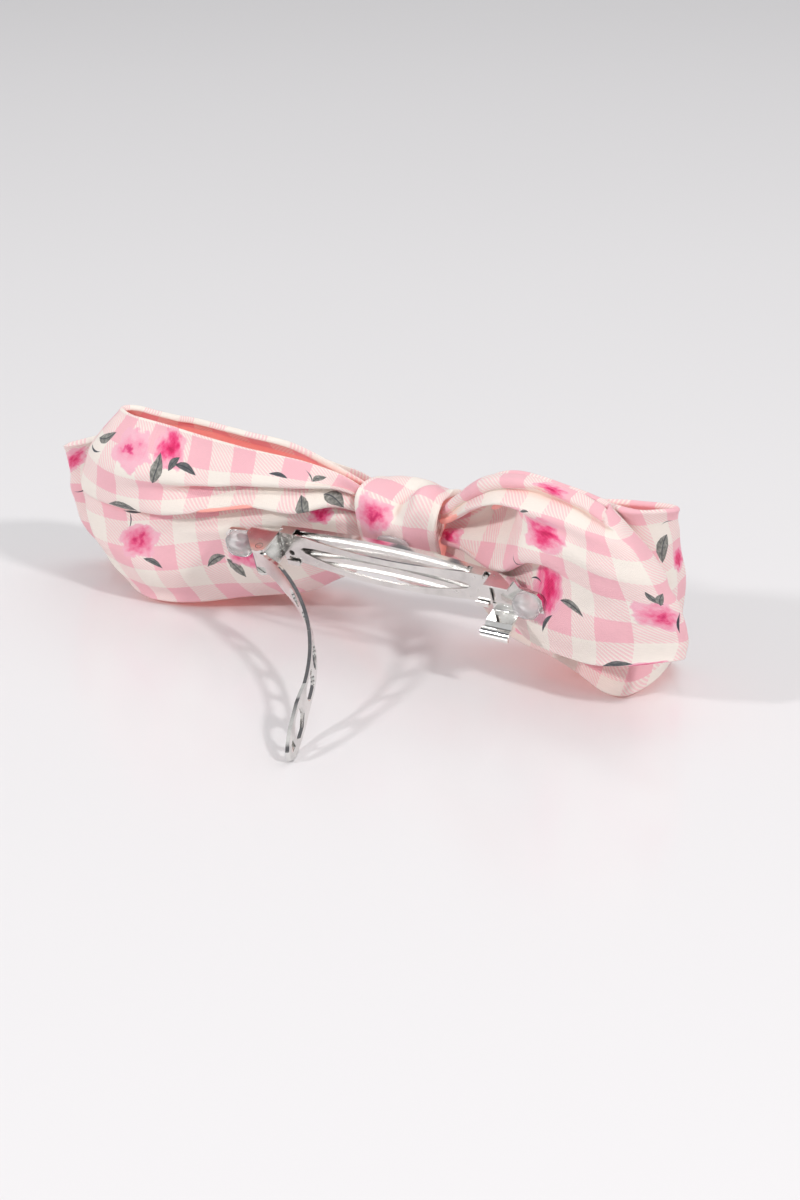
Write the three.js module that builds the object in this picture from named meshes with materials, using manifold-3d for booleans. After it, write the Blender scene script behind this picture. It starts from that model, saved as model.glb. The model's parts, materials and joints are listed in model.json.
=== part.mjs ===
// Fabric bow hair clip on an automatic spring barrette, standing on its bow and on the tip of its open arm.
// The clip frame: x along the clip (hinge end at -x), y across it, z out of the back of the bow.
// The part frame: +Z up, +X along the clip, origin at the middle of the bounding box's base.
import * as THREE from "three";
import { mergeVertices } from "three/addons/utils/BufferGeometryUtils.js";
import Module from "manifold-3d";

const wasm = await Module();
wasm.setup();

// ---------- driving dimensions, in millimetres and degrees ----------
const GAP = 0.3; // air between pieces that touch
const BIG = 20; // reaches past any piece it cuts
const CLIP_LENGTH = 80; // over both end tabs
const BASE_WIDTH = 9.2;
const BASE_RADIUS = 190; // the bar is bowed, its ends towards the hair
const SHEET = 0.8; // pressed steel of the bar and the arm
const THIN_SHEET = 0.4; // spring strip
const RIB_HEIGHT = 0.45;
const TAB_WIDTH = 6;
const TAB_LENGTH = 7;
const TAB_HOLE = 2.4;
const TAB_HOLE_INSET = 3.8; // the hole's middle from the tab's end
const CORNER = 1.2; // corners cut off the tabs
const RIB_WIDTH = 1;
const RIB_OFFSET = 2.4; // a rib's middle from the bar's middle
const RIB_END = 5; // from the spring's end in to the rib's end
const EDGE_WIDTH = 0.45; // turned-up long edges
const CRIMP_LENGTH = 3;
const CRIMP_SHEET = 0.4;
const CRIMP_INSET = 2.2; // a crimp's middle from the spring's end
const CRIMP_LAP = 0.5; // how far it laps over the spring's edge
const SHOULDER_LENGTH = 0.6; // where the bar widens beside the ears
const SINK = 0.3; // how deep walls start inside the plate they grow from

const HINGE_X = -28.6; // the pivot, along the bar
const HINGE_HEIGHT = 6.2; // the pivot above the bar's back face there
const EAR_SPREAD = 7; // over the outer faces of the two ears
const EAR_SHEET = 0.6;
const EAR_RADIUS = 1.9;
const ROOT_AIR = 0.2; // between the arm and each ear
const EAR_LENGTH = 5.2; // from the pivot back to the ear's end
const EAR_DROP = 3.2; // how far the ear's top falls towards its end
const PIP_RADIUS = 0.8;
const PIP_CLEARANCE = 0.1;

const ARM_REACH = 66.4; // pivot to tip, in a straight line
const ARM_RISE = 8.2; // how far the arm bulges from that line
const ARM_BEND_RADIUS = 58;
const ARM_BULGE_AT = 31; // where it bulges most
const ARM_WIDTH = 7;
const ARM_HEEL = 1.1; // behind the pivot
const ARM_NECK = 4.5; // end of the part between the ears
const ARM_PLAN = [[9, 0.3], [13, 0.1], [22, -0.2]]; // along it, and what half its width gains there
const ARM_WAIST = 0.7; // how much half its width loses before the eye
const ARM_WINDOW = 3.9; // width of its windows
const WINDOW_ENDS = [13.5, 18.5, 20.3, 40.3, 42]; // along it, past the webs
const FLEX_WEB = 1.6; // half the web where it flexes
const EYE_WEB = 1.2; // the web before the eye
const EYE_LENGTH = 15.5;
const EYE_WIDTH = 7.5;
const EYE_RUN = 3; // where the arm starts to widen towards it
const EYE_FLARE = [[2, 0.2], [4, 0]]; // past its start, and what half its width loses there
const EYE_TIP = [[4.5, 0.5], [1.4, 1.5], [0, 2.6]]; // the same, back from the arm's tip
const EYE_WINDOW = [2.2, 4.6, 7.6, 10]; // corners of the six-sided window, from its start
const EYE_RAIL = 1.2; // metal beside that window
const EYE_POINT = 0.9; // half the window's width at its ends
const TIP_WINDOW = [[11.2, 1.4], [13.6, 0.8]]; // the small window: along, and half its width
const ARM_OPEN = 54.3; // angle of the straight line from the clip, as it stands

const SPRING_LENGTH = 52.4;
const SPRING_WIDTH = 7.8;
const SPRING_RISE = 1.8; // its middle above its ends
const SPRING_END = 4.6; // the flat plate at each end
const SPRING_STRIP = 1.5;
const SPRING_FULLNESS = 1.2; // how gently the bow runs out into its ends
const SPRING_HOLE = { radius: 0.7, inset: 2, across: -1.6 };

const CATCH_X = 30.3;
const CATCH_WIDTH = 6.4;
const CATCH_SHEET = 0.5;
const CATCH_FOOT = 1.9; // how far the lever's foot reaches over the bar
const CATCH_INSET = 0.4; // its wall from the bar's edge, and its bottom corner
const CATCH_RISE = 3.9; // its wall above the foot
const CATCH_FLARE = 2.1; // the thumb tab, out and up
const TOOTH_INSET = 1.4;
const TOOTH_SHEET = 0.5;
const LIP_RADIUS = 1.3;
const WALL_SHEET = 0.5; // the low wall across the bar from the lever
const WALL_HEIGHT = 3.4;
const WALL_SHORTER = 0.6; // than the lever

const LEAN = 20.55; // the clip's top leans towards the hair side as it stands

const KNOT_WIDTH = 19;
const KNOT_HEIGHT = 24;
const KNOT_DEPTH = 19.4;
const KNOT_CLOTH = 2.2;
const KNOT_BACK = -3.6; // the knot's face behind the bar
const KNOT_SQUARENESS = 0.55; // 1 is an ellipse, 0 is a box
const LOOP_SQUARENESS = 0.6;
const WAIST_HEIGHT = 14;
const THREAD = 0.8;
const THREAD_WIDTH = 3;
const FULL_AT = 0.55; // share of a loop's length where it has spread to its full height
const LOOP_END = 1.5; // half the depth a loop draws in to
const LOOP_TAPER = 0.7;
const BAR_AIR = 0.6; // between a loop and the bar in front of it

const GLUE_DOT = 6.4;
const GLUE_HEIGHT = 2.2;
const GLUE_CORNER = 0.12; // how much a dot bulges towards its corners
const GLUE_BREADTH = 0.92; // its width for its length
const GLUE_MARGIN = 2.5; // the middle bead stops this far inside the knot

// Each loop of the bow: how far it reaches, its top and bottom, its two faces,
// and how far it draws in at its end.
const BACK_LOOPS = [
  { side: -1, reach: 80, top: 24, bottom: -27, near: 6.5, far: -11.5, endTop: 14, endBottom: -12 },
  { side: 1, reach: 72, top: 23, bottom: -12, near: 5.5, far: -11.5, endTop: -1, endBottom: -9 },
];
const FRONT_LOOPS = [
  { side: -1, reach: 86, top: 14, bottom: -36, near: -12.5, far: -24, endTop: 10, endBottom: -18 },
  { side: 1, reach: 70, top: 22, bottom: -36, near: -12.5, far: -24, endTop: 20, endBottom: -30 },
];

// ---------- values worked out from them ----------
const rad = THREE.MathUtils.degToRad;
const bow = (x) => BASE_RADIUS - Math.sqrt(BASE_RADIUS ** 2 - x ** 2); // the bar's back face
const top = (x) => bow(x) + SHEET; // the bar's face towards the hair
const HALF_LENGTH = CLIP_LENGTH / 2;
const HALF_BASE = BASE_WIDTH / 2;
const HINGE_Z = bow(HINGE_X) + HINGE_HEIGHT;
const FLEX_AT = ARM_BULGE_AT; // the arm's spring section
const KNOT_FRONT = KNOT_BACK - KNOT_DEPTH;
// the two gathered waists lie face to face inside the knot, tied by the thread
const waistNear = KNOT_BACK - KNOT_CLOTH - 2 * GAP - THREAD;
const waistFar = KNOT_FRONT + KNOT_CLOTH + 2 * GAP + THREAD;

// ---------- finishes ----------
const finish = (color, roughness, metalness) =>
  new THREE.MeshStandardMaterial({ color, roughness, metalness });
const nickel = finish(0xd8d6d2, 0.2, 1);
const springSteel = finish(0xcfcdc8, 0.25, 1);
const cotton = finish(0xf7cfd2, 0.9, 0);
const cottonKnot = finish(0xf4dcd6, 0.9, 0);
const polyester = finish(0xf2efe8, 0.6, 0);
const hotGlue = finish(0xe6dfe2, 0.25, 0);

// ---------- tools: solids, outlines and prisms ----------
function toSolid(geometry) {
  const plain = geometry.clone();
  plain.deleteAttribute("normal");
  plain.deleteAttribute("uv");
  const merged = mergeVertices(plain, 1e-4);
  return new wasm.Manifold(
    new wasm.Mesh({
      numProp: 3,
      vertProperties: merged.attributes.position.array,
      triVerts: new Uint32Array(merged.index.array),
    }),
  );
}

function toGeometry(solid) {
  const mesh = solid.getMesh();
  const geometry = new THREE.BufferGeometry();
  geometry.setAttribute("position", new THREE.BufferAttribute(mesh.vertProperties, 3));
  geometry.setIndex(new THREE.BufferAttribute(mesh.triVerts, 1));
  geometry.computeVertexNormals();
  return geometry;
}

const join = (...solids) => solids.reduce((all, next) => all.add(next));

const extrude = (shape, depth) =>
  new THREE.ExtrudeGeometry(shape, { depth, bevelEnabled: false, curveSegments: 10 });

// A plan outline (x, y) raised along z.
const prismZ = (shape, z0, z1) => toSolid(extrude(shape, z1 - z0).translate(0, 0, z0));

// A side outline (x, z) stretched along y.
const prismY = (shape, y0, y1) =>
  toSolid(extrude(shape, y1 - y0).rotateX(Math.PI / 2).translate(0, y1, 0));

// An end outline (y, z) stretched along x.
const prismX = (shape, x0, x1) =>
  toSolid(extrude(shape, x1 - x0).rotateX(Math.PI / 2).rotateZ(Math.PI / 2).translate(x0, 0, 0));

function block(x0, x1, y0, y1, z0, z1) {
  const box = new THREE.BoxGeometry(x1 - x0, y1 - y0, z1 - z0);
  return toSolid(box.translate((x0 + x1) / 2, (y0 + y1) / 2, (z0 + z1) / 2));
}

// A round rod along y.
const rodY = (radius, x, z, y0, y1) =>
  toSolid(new THREE.CylinderGeometry(radius, radius, y1 - y0, 24).translate(x, (y0 + y1) / 2, z));

// A round rod along z.
const rodZ = (radius, x, y, z0, z1) =>
  toSolid(
    new THREE.CylinderGeometry(radius, radius, z1 - z0, 24)
      .rotateX(Math.PI / 2)
      .translate(x, y, (z0 + z1) / 2),
  );

// The outline of sheet metal that follows a line: the line is offset by half the thickness to each side.
function sheetOutline(line, thickness) {
  const side = (sign) =>
    line.map((point, i) => {
      const before = line[Math.max(i - 1, 0)];
      const after = line[Math.min(i + 1, line.length - 1)];
      const along = new THREE.Vector2().subVectors(after, before).normalize();
      const across = new THREE.Vector2(-along.y, along.x);
      return point.clone().addScaledVector(across, (sign * thickness) / 2);
    });
  return new THREE.Shape([...side(-1), ...side(1).reverse()]);
}

// Points of y = height(x) from x0 to x1.
function lineOf(height, x0, x1, steps) {
  return Array.from({ length: steps + 1 }, (_, i) => {
    const x = x0 + ((x1 - x0) * i) / steps;
    return new THREE.Vector2(x, height(x));
  });
}

// An outline that is the same on both sides of the x axis, from its points with y > 0.
const mirrored = (points) =>
  new THREE.Shape([
    ...points.map(([x, y]) => new THREE.Vector2(x, -y)),
    ...points.reverse().map(([x, y]) => new THREE.Vector2(x, y)),
  ]);

// A slot with half-round ends, along x.
function slot(x0, x1, width) {
  const radius = width / 2;
  const shape = new THREE.Shape();
  shape.absarc(x1 - radius, 0, radius, -Math.PI / 2, Math.PI / 2, false);
  shape.absarc(x0 + radius, 0, radius, Math.PI / 2, Math.PI * 1.5, false);
  return shape;
}

const ordered = (a, b) => [Math.min(a, b), Math.max(a, b)];

function addPiece(group, name, solid, material) {
  const mesh = new THREE.Mesh(toGeometry(solid), material);
  mesh.name = name;
  group.add(mesh);
}

// ---------- the clip's pieces ----------
function baseBar() {
  const strip = prismY(
    sheetOutline(
      lineOf((x) => bow(x) + SHEET / 2, -HALF_LENGTH, HALF_LENGTH, 48),
      SHEET,
    ),
    -HALF_BASE,
    HALF_BASE,
  );
  const earHalf = EAR_SPREAD / 2;
  const tabHalf = TAB_WIDTH / 2;
  const tabStart = HALF_LENGTH - TAB_LENGTH;
  const shoulder = HINGE_X + EAR_RADIUS;
  const plan = mirrored([
    [-HALF_LENGTH, tabHalf - CORNER],
    [-HALF_LENGTH + CORNER, tabHalf],
    [-tabStart, tabHalf],
    [-tabStart + SINK, earHalf],
    [shoulder, earHalf],
    [shoulder + SHOULDER_LENGTH, HALF_BASE],
    [tabStart, HALF_BASE],
    [tabStart + CORNER, tabHalf],
    [HALF_LENGTH - CORNER, tabHalf],
    [HALF_LENGTH, tabHalf - CORNER],
  ]);
  let bar = strip.intersect(prismZ(plan, -1, HALF_LENGTH));

  // two stiffening ribs and a turned-up edge on each long side
  const ribEnd = SPRING_LENGTH / 2 - RIB_END;
  const ribLine = lineOf((x) => top(x) + (RIB_HEIGHT - SINK) / 2, -ribEnd, ribEnd, 24);
  const rib = sheetOutline(ribLine, RIB_HEIGHT + SINK);
  for (const side of [-1, 1]) {
    const middle = side * RIB_OFFSET;
    const edge = side * (HALF_BASE - EDGE_WIDTH / 2);
    bar = bar.add(prismY(rib, middle - RIB_WIDTH / 2, middle + RIB_WIDTH / 2));
    bar = bar.add(prismY(rib, edge - EDGE_WIDTH / 2, edge + EDGE_WIDTH / 2));
  }

  // four crimped tabs that hold the spring's corners down
  const crimpX = SPRING_LENGTH / 2 - CRIMP_INSET;
  for (const side of [-1, 1]) {
    for (const across of [-1, 1]) {
      const wall = ordered(across * (HALF_BASE - CRIMP_SHEET), across * HALF_BASE);
      const lip = ordered(across * (SPRING_WIDTH / 2 - CRIMP_LAP), across * HALF_BASE);
      const x0 = side * crimpX - CRIMP_LENGTH / 2;
      const x1 = x0 + CRIMP_LENGTH;
      const lipZ = top(SPRING_LENGTH / 2) + THIN_SHEET + 2 * GAP;
      bar = bar.add(block(x0, x1, ...wall, bow(crimpX) + SINK, lipZ + CRIMP_SHEET));
      bar = bar.add(block(x0, x1, ...lip, lipZ, lipZ + CRIMP_SHEET));
    }
  }

  // the ears of the hinge, and the low wall beside the catch
  const ear = new THREE.Shape();
  const earEnd = HINGE_X - EAR_LENGTH;
  ear.moveTo(earEnd, bow(earEnd) + SINK);
  ear.lineTo(shoulder, bow(shoulder) + SINK);
  ear.absarc(HINGE_X, HINGE_Z, EAR_RADIUS, 0, Math.PI * 0.75, false);
  ear.lineTo(earEnd, HINGE_Z - EAR_DROP);
  for (const y of [-earHalf, earHalf - EAR_SHEET]) bar = bar.add(prismY(ear, y, y + EAR_SHEET));
  bar = bar.subtract(rodY(PIP_RADIUS + PIP_CLEARANCE, HINGE_X, HINGE_Z, -HALF_BASE, HALF_BASE));
  bar = bar.add(
    block(
      CATCH_X - CATCH_WIDTH / 2, CATCH_X + CATCH_WIDTH / 2 - WALL_SHORTER,
      HALF_BASE - WALL_SHEET, HALF_BASE,
      bow(CATCH_X) + SINK, top(CATCH_X) + WALL_HEIGHT,
    ),
  );

  // a hole in each end tab
  for (const side of [-1, 1])
    bar = bar.subtract(rodZ(TAB_HOLE / 2, side * (HALF_LENGTH - TAB_HOLE_INSET), 0, 0, HALF_LENGTH));
  return bar;
}

// A bowed leaf with a long oval window, under the crimped tabs at both ends.
function tensionSpring() {
  const half = SPRING_LENGTH / 2;
  const bowed = half - SPRING_END;
  const endZ = top(half) + GAP + THIN_SHEET / 2;
  const height = (x) => endZ + SPRING_RISE * (1 - Math.min(1, (x / bowed) ** 2)) ** SPRING_FULLNESS;
  const leaf = prismY(
    sheetOutline(lineOf(height, -half, half, 36), THIN_SHEET),
    -SPRING_WIDTH / 2,
    SPRING_WIDTH / 2,
  );
  const window = new THREE.Shape();
  window.absellipse(0, 0, bowed, SPRING_WIDTH / 2 - SPRING_STRIP, 0, Math.PI * 2, false);
  const { radius, inset, across } = SPRING_HOLE;
  const smallHole = rodZ(radius, inset - half, across, 0, HALF_LENGTH);
  return leaf.subtract(prismZ(window, 0, HALF_LENGTH)).subtract(smallHole);
}

// The arm, lying along x from its pivot at the origin, bulging to -z.
function claspArm() {
  const bendZ = ARM_BEND_RADIUS - ARM_RISE;
  const bend = (x) => bendZ - Math.sqrt(ARM_BEND_RADIUS ** 2 - (x - ARM_BULGE_AT) ** 2);
  const eyeStart = ARM_REACH - EYE_LENGTH;
  const line = lineOf(bend, -ARM_HEEL, eyeStart, 40);
  line.push(new THREE.Vector2(ARM_REACH, 0));
  const side = prismY(sheetOutline(line, SHEET), -EYE_WIDTH, EYE_WIDTH);
  const root = EAR_SPREAD / 2 - EAR_SHEET - ROOT_AIR;
  const half = ARM_WIDTH / 2;
  const eye = EYE_WIDTH / 2;
  const plan = mirrored([
    [-ARM_HEEL, root],
    [ARM_NECK, root],
    ...ARM_PLAN.map(([x, more]) => [x, half + more]),
    [eyeStart - EYE_RUN, half - ARM_WAIST],
    ...EYE_FLARE.map(([x, less]) => [eyeStart + x, eye - less]),
    ...EYE_TIP.map(([x, less]) => [ARM_REACH - x, eye - less]),
  ]);
  const cut = (shape) => prismZ(shape, -BIG, BIG);
  let arm = side.intersect(cut(plan));

  // windows between the rails, with webs that leave the arm solid where it flexes
  const [w0, w1, w2, w3, w4] = WINDOW_ENDS;
  const windows = [[w0, w1], [w2, FLEX_AT - FLEX_WEB], [FLEX_AT + FLEX_WEB, w3], [w4, eyeStart - EYE_WEB]];
  for (const [x0, x1] of windows) arm = arm.subtract(cut(slot(x0, x1, ARM_WINDOW)));

  // the eye: a six-sided window, and a small one behind the tip
  const eyeHalf = [EYE_POINT, eye - EYE_RAIL, eye - EYE_RAIL, EYE_POINT];
  const six = mirrored(EYE_WINDOW.map((x, i) => [eyeStart + x, eyeHalf[i]]));
  const small = mirrored(TIP_WINDOW.map(([x, halfWidth]) => [eyeStart + x, halfWidth]));
  arm = arm.subtract(cut(six)).subtract(cut(small));

  const pips = rodY(PIP_RADIUS, 0, 0, -EAR_SPREAD / 2, EAR_SPREAD / 2);
  return arm.add(pips);
}

// The release lever beside the catch: a short foot on the bar, a wall with a tooth,
// a flared thumb tab and a rolled lip.
function catchLever() {
  const footZ = top(CATCH_X + CATCH_WIDTH / 2) + GAP + CATCH_SHEET / 2;
  const wallY = -HALF_BASE + CATCH_INSET;
  const bendZ = footZ + CATCH_RISE;
  const lipY = wallY - CATCH_FLARE;
  const lipZ = bendZ + CATCH_FLARE;
  const line = [
    new THREE.Vector2(wallY + CATCH_FOOT, footZ),
    new THREE.Vector2(wallY + CATCH_INSET, footZ),
    new THREE.Vector2(wallY, footZ + CATCH_INSET),
    new THREE.Vector2(wallY, bendZ),
    new THREE.Vector2(lipY, lipZ),
  ];
  const turns = 10;
  const inset = LIP_RADIUS * Math.SQRT1_2;
  for (let i = 1; i <= turns; i++) {
    const angle = rad(45 + (200 * i) / turns);
    const y = lipY - inset + LIP_RADIUS * Math.cos(angle);
    const z = lipZ - inset + LIP_RADIUS * Math.sin(angle);
    line.push(new THREE.Vector2(y, z));
  }
  const x0 = CATCH_X - CATCH_WIDTH / 2;
  const lever = prismX(sheetOutline(line, CATCH_SHEET), x0, x0 + CATCH_WIDTH);
  const tooth = block(
    x0 + TOOTH_INSET, x0 + CATCH_WIDTH - TOOTH_INSET,
    wallY, -EYE_WIDTH / 2 - PIP_CLEARANCE,
    bendZ - TOOTH_SHEET, bendZ,
  );
  return lever.add(tooth);
}

// Hot-melt glue over an end tab: a low rounded dome and the plug that fills the tab's hole.
function glueDot(side) {
  const x = side * (HALF_LENGTH - TAB_HOLE_INSET);
  const half = GLUE_DOT / 2;
  const dome = new THREE.SphereGeometry(1, 20, 12, 0, Math.PI * 2, 0, Math.PI / 2);
  const positions = dome.attributes.position;
  for (let i = 0; i < positions.count; i++) {
    const px = positions.getX(i);
    const pz = positions.getZ(i);
    const square = 1 / Math.max(Math.hypot(px, pz), 1e-9) ** 0.5;
    const corner = GLUE_CORNER * Math.abs(Math.sin(2 * Math.atan2(pz, px)));
    const reach = half * (1 + corner * Math.min(square, 1));
    positions.setXYZ(i, px * reach, -pz * reach * GLUE_BREADTH, positions.getY(i) * GLUE_HEIGHT);
  }
  const closed = hullOf(dome);
  const level = top(Math.abs(x) + half) + GAP;
  const plug = rodZ(TAB_HOLE / 2 - GAP, x, 0, bow(x), level + SINK);
  return closed.translate([x, 0, level]).add(plug);
}

const hullOf = (geometry) => {
  const p = geometry.attributes.position;
  return wasm.Manifold.hull(Array.from({ length: p.count }, (_, i) => [p.getX(i), p.getY(i), p.getZ(i)]));
};

// The bead of glue between the bar and the knot.
function glueCentre() {
  const outline = new THREE.Shape();
  outline.absellipse(0, 0, KNOT_WIDTH / 2 - GLUE_MARGIN, HALF_BASE - GAP, 0, Math.PI * 2, false);
  return prismZ(outline, KNOT_BACK + GAP, -GAP);
}

// ---------- the bow ----------
const section = (x, y0, y1, z0, z1) => ({
  x,
  y: (y0 + y1) / 2,
  z: (z0 + z1) / 2,
  a: (y1 - y0) / 2,
  b: (z1 - z0) / 2,
});

// A closed soft solid through rounded sections across x.
function loft(sections) {
  const around = 24;
  const round = (v) => Math.sign(v) * Math.abs(v) ** LOOP_SQUARENESS;
  const vertices = [];
  for (const s of sections)
    for (let i = 0; i < around; i++) {
      const angle = (2 * Math.PI * i) / around;
      vertices.push(s.x, s.y + s.a * round(Math.cos(angle)), s.z + s.b * round(Math.sin(angle)));
    }
  const triangles = [];
  for (let k = 0; k + 1 < sections.length; k++)
    for (let i = 0; i < around; i++) {
      const a = k * around + i;
      const b = k * around + ((i + 1) % around);
      triangles.push(a, b, a + around, b, b + around, a + around);
    }
  for (let i = 1; i + 1 < around; i++) {
    const end = (sections.length - 1) * around;
    triangles.push(0, i + 1, i, end, end + i, end + i + 1);
  }
  if (sections.at(-1).x < sections[0].x) triangles.reverse();
  return new wasm.Manifold(
    new wasm.Mesh({
      numProp: 3,
      vertProperties: new Float32Array(vertices),
      triVerts: new Uint32Array(triangles),
    }),
  );
}

// One loop, from the waist inside the knot to its rounded outer end.
function loopSolid(loop, waistZ0, waistZ1) {
  const start = KNOT_WIDTH / 2 + GAP;
  const waist = WAIST_HEIGHT / 2;
  const mix = (a, b, t) => a + (b - a) * t;
  const steps = 14;
  const sections = [];
  for (let i = 0; i <= steps; i++) {
    const s = i / steps;
    const x = start + s * (loop.reach - start);
    const spread = Math.sin((Math.PI / 2) * Math.min(1, s / FULL_AT));
    const tail = Math.max(0, (s - FULL_AT) / (1 - FULL_AT)) ** 2;
    const behindBar = bow(Math.min(x, 1.4 * HALF_LENGTH)) - BAR_AIR;
    const near = Math.min(mix(waistZ1, loop.near, spread), behindBar, loop.near);
    sections.push(
      section(
        loop.side * x,
        mix(mix(-waist, loop.bottom, spread), loop.endBottom, tail),
        mix(mix(waist, loop.top, spread), loop.endTop, tail),
        mix(mix(waistZ0, loop.far, spread), (loop.far + near) / 2 - LOOP_END, tail * LOOP_TAPER),
        mix(near, (loop.far + near) / 2 + LOOP_END, tail * LOOP_TAPER),
      ),
    );
  }
  return loft(sections);
}

function bowSolid(loops, waistZ0, waistZ1) {
  const start = KNOT_WIDTH / 2 + 2 * GAP;
  const gathered = prismX(roundedOutline(WAIST_HEIGHT, waistFar, waistNear), -start, start);
  const waist = gathered.intersect(block(-start, start, -WAIST_HEIGHT, WAIST_HEIGHT, waistZ0, waistZ1));
  return join(waist, ...loops.map((loop) => loopSolid(loop, waistZ0, waistZ1)));
}

// A rounded outline across x: its height along y, and its two faces.
function roundedOutline(height, z0, z1) {
  const around = 40;
  const round = (v) => Math.sign(v) * Math.abs(v) ** KNOT_SQUARENESS;
  const points = Array.from({ length: around }, (_, i) => {
    const angle = (2 * Math.PI * i) / around;
    const y = (height / 2) * round(Math.cos(angle));
    return new THREE.Vector2(y, (z0 + z1) / 2 + ((z1 - z0) / 2) * round(Math.sin(angle)));
  });
  return new THREE.Shape(points);
}

// A closed band of an even wall around the gathered waist.
function band(width, height, z0, z1, wall) {
  const outer = prismX(roundedOutline(height, z0, z1), -width / 2, width / 2);
  return outer.subtract(prismX(roundedOutline(height - 2 * wall, z0 + wall, z1 - wall), -width, width));
}

// ---------- assembly ----------
const part = new THREE.Group();
const clip = new THREE.Group();
clip.rotation.x = Math.PI / 2 + rad(LEAN);
part.add(clip);

const arm = new THREE.Group();
arm.position.set(HINGE_X, 0, HINGE_Z);
arm.rotation.y = -rad(ARM_OPEN);
clip.add(arm);
const wholeArm = claspArm();
const rootSide = block(-BIG, FLEX_AT - GAP / 2, -BIG, BIG, -BIG, BIG);
const frontSide = block(FLEX_AT + GAP / 2, 2 * ARM_REACH, -BIG, BIG, -BIG, BIG);
addPiece(arm, "clasp_arm_root", wholeArm.intersect(rootSide), nickel);
addPiece(arm, "clasp_arm_front", wholeArm.intersect(frontSide), nickel);

// The table is where the arm's lowest point is.
// What is below it is cut away, so that the soft loops rest flat.
part.updateMatrixWorld(true);
clip.position.z = -new THREE.Box3().setFromObject(arm, true).min.z;
part.updateMatrixWorld(true);
const table = new THREE.BoxGeometry(400, 400, 100).translate(0, 0, -50);
const belowTable = toSolid(table.applyMatrix4(clip.matrixWorld.clone().invert()));

addPiece(clip, "base_bar", baseBar(), nickel);
addPiece(clip, "tension_spring", tensionSpring(), springSteel);
addPiece(clip, "catch_lever", catchLever(), springSteel);
addPiece(clip, "glue_left", glueDot(-1), hotGlue);
addPiece(clip, "glue_right", glueDot(1), hotGlue);
addPiece(clip, "glue_centre", glueCentre(), hotGlue);

const between = (waistNear + waistFar) / 2;
addPiece(clip, "back_bow", bowSolid(BACK_LOOPS, between + GAP / 2, waistNear).subtract(belowTable), cotton);
addPiece(clip, "front_bow", bowSolid(FRONT_LOOPS, waistFar, between - GAP / 2).subtract(belowTable), cotton);
addPiece(clip, "knot_band", band(KNOT_WIDTH, KNOT_HEIGHT, KNOT_FRONT, KNOT_BACK, KNOT_CLOTH), cottonKnot);
const wound = GAP + THREAD;
addPiece(
  clip,
  "tie_thread",
  band(THREAD_WIDTH, WAIST_HEIGHT + 2 * wound, waistFar - wound, waistNear + wound, THREAD),
  polyester,
);

// the origin goes to the middle of the bounding box's base
part.updateMatrixWorld(true);
const box = new THREE.Box3().setFromObject(part, true);
const centre = box.getCenter(new THREE.Vector3());
clip.position.x -= centre.x;
clip.position.y -= centre.y;
clip.position.z -= box.min.z;

export default part;
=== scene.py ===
import json
import math

import bmesh
import bpy
from bpy.props import FloatProperty, FloatVectorProperty, PointerProperty
from mathutils import Matrix, Vector, noise


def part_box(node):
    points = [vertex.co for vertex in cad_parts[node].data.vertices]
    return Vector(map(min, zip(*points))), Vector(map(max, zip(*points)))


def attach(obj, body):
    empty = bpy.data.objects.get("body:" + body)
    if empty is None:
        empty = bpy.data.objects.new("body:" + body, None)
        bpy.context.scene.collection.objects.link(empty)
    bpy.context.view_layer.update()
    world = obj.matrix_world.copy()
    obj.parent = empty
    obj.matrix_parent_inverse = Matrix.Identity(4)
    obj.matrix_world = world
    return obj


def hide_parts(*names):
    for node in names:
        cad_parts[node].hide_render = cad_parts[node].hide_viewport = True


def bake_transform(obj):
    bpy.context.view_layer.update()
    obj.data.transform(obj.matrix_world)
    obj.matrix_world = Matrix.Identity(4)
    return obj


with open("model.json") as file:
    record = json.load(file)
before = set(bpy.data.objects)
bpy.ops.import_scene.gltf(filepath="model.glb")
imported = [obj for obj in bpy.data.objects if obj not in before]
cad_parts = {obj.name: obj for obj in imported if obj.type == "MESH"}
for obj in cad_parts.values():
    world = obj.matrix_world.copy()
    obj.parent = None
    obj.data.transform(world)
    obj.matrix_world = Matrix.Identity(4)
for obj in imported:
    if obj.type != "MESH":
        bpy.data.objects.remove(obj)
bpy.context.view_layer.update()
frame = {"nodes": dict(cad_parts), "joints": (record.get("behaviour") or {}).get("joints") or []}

bl_info = {
    "name": "Fabric bow hair clip",
    "version": (1, 0, 0),
    "blender": (4, 5, 0),
    "location": "View3D > Sidebar > Hair clip",
    "description": "A gingham bow glued to a sprung metal hair clip, standing open on a pale table",
    "category": "Object",
}

MM = 0.001
LEAN = math.radians(20.55)  # how far the clip's top leans towards the hair side
HINGE = (-28.6, 0.0, 8.36)  # the arm's pivot in the clip's own directions, mm
joint_at = {joint["name"]: joint for joint in frame["joints"]}

# The clip's directions: x along it, y across it, z out of the back of the bow.
CLIP_AXES = Matrix((
    (1, 0, 0),
    (0, -math.sin(LEAN), -math.cos(LEAN)),
    (0, math.cos(LEAN), -math.sin(LEAN)),
))
CLIP_ORIGIN = Vector(joint_at["arm_hinge"]["pos_m"]) - CLIP_AXES @ (Vector(HINGE) * MM)


def at_clip(x, y, z):
    """A point given in the clip's directions in millimetres, as a place in the model."""
    return CLIP_ORIGIN + CLIP_AXES @ (Vector((x, y, z)) * MM)


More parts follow.
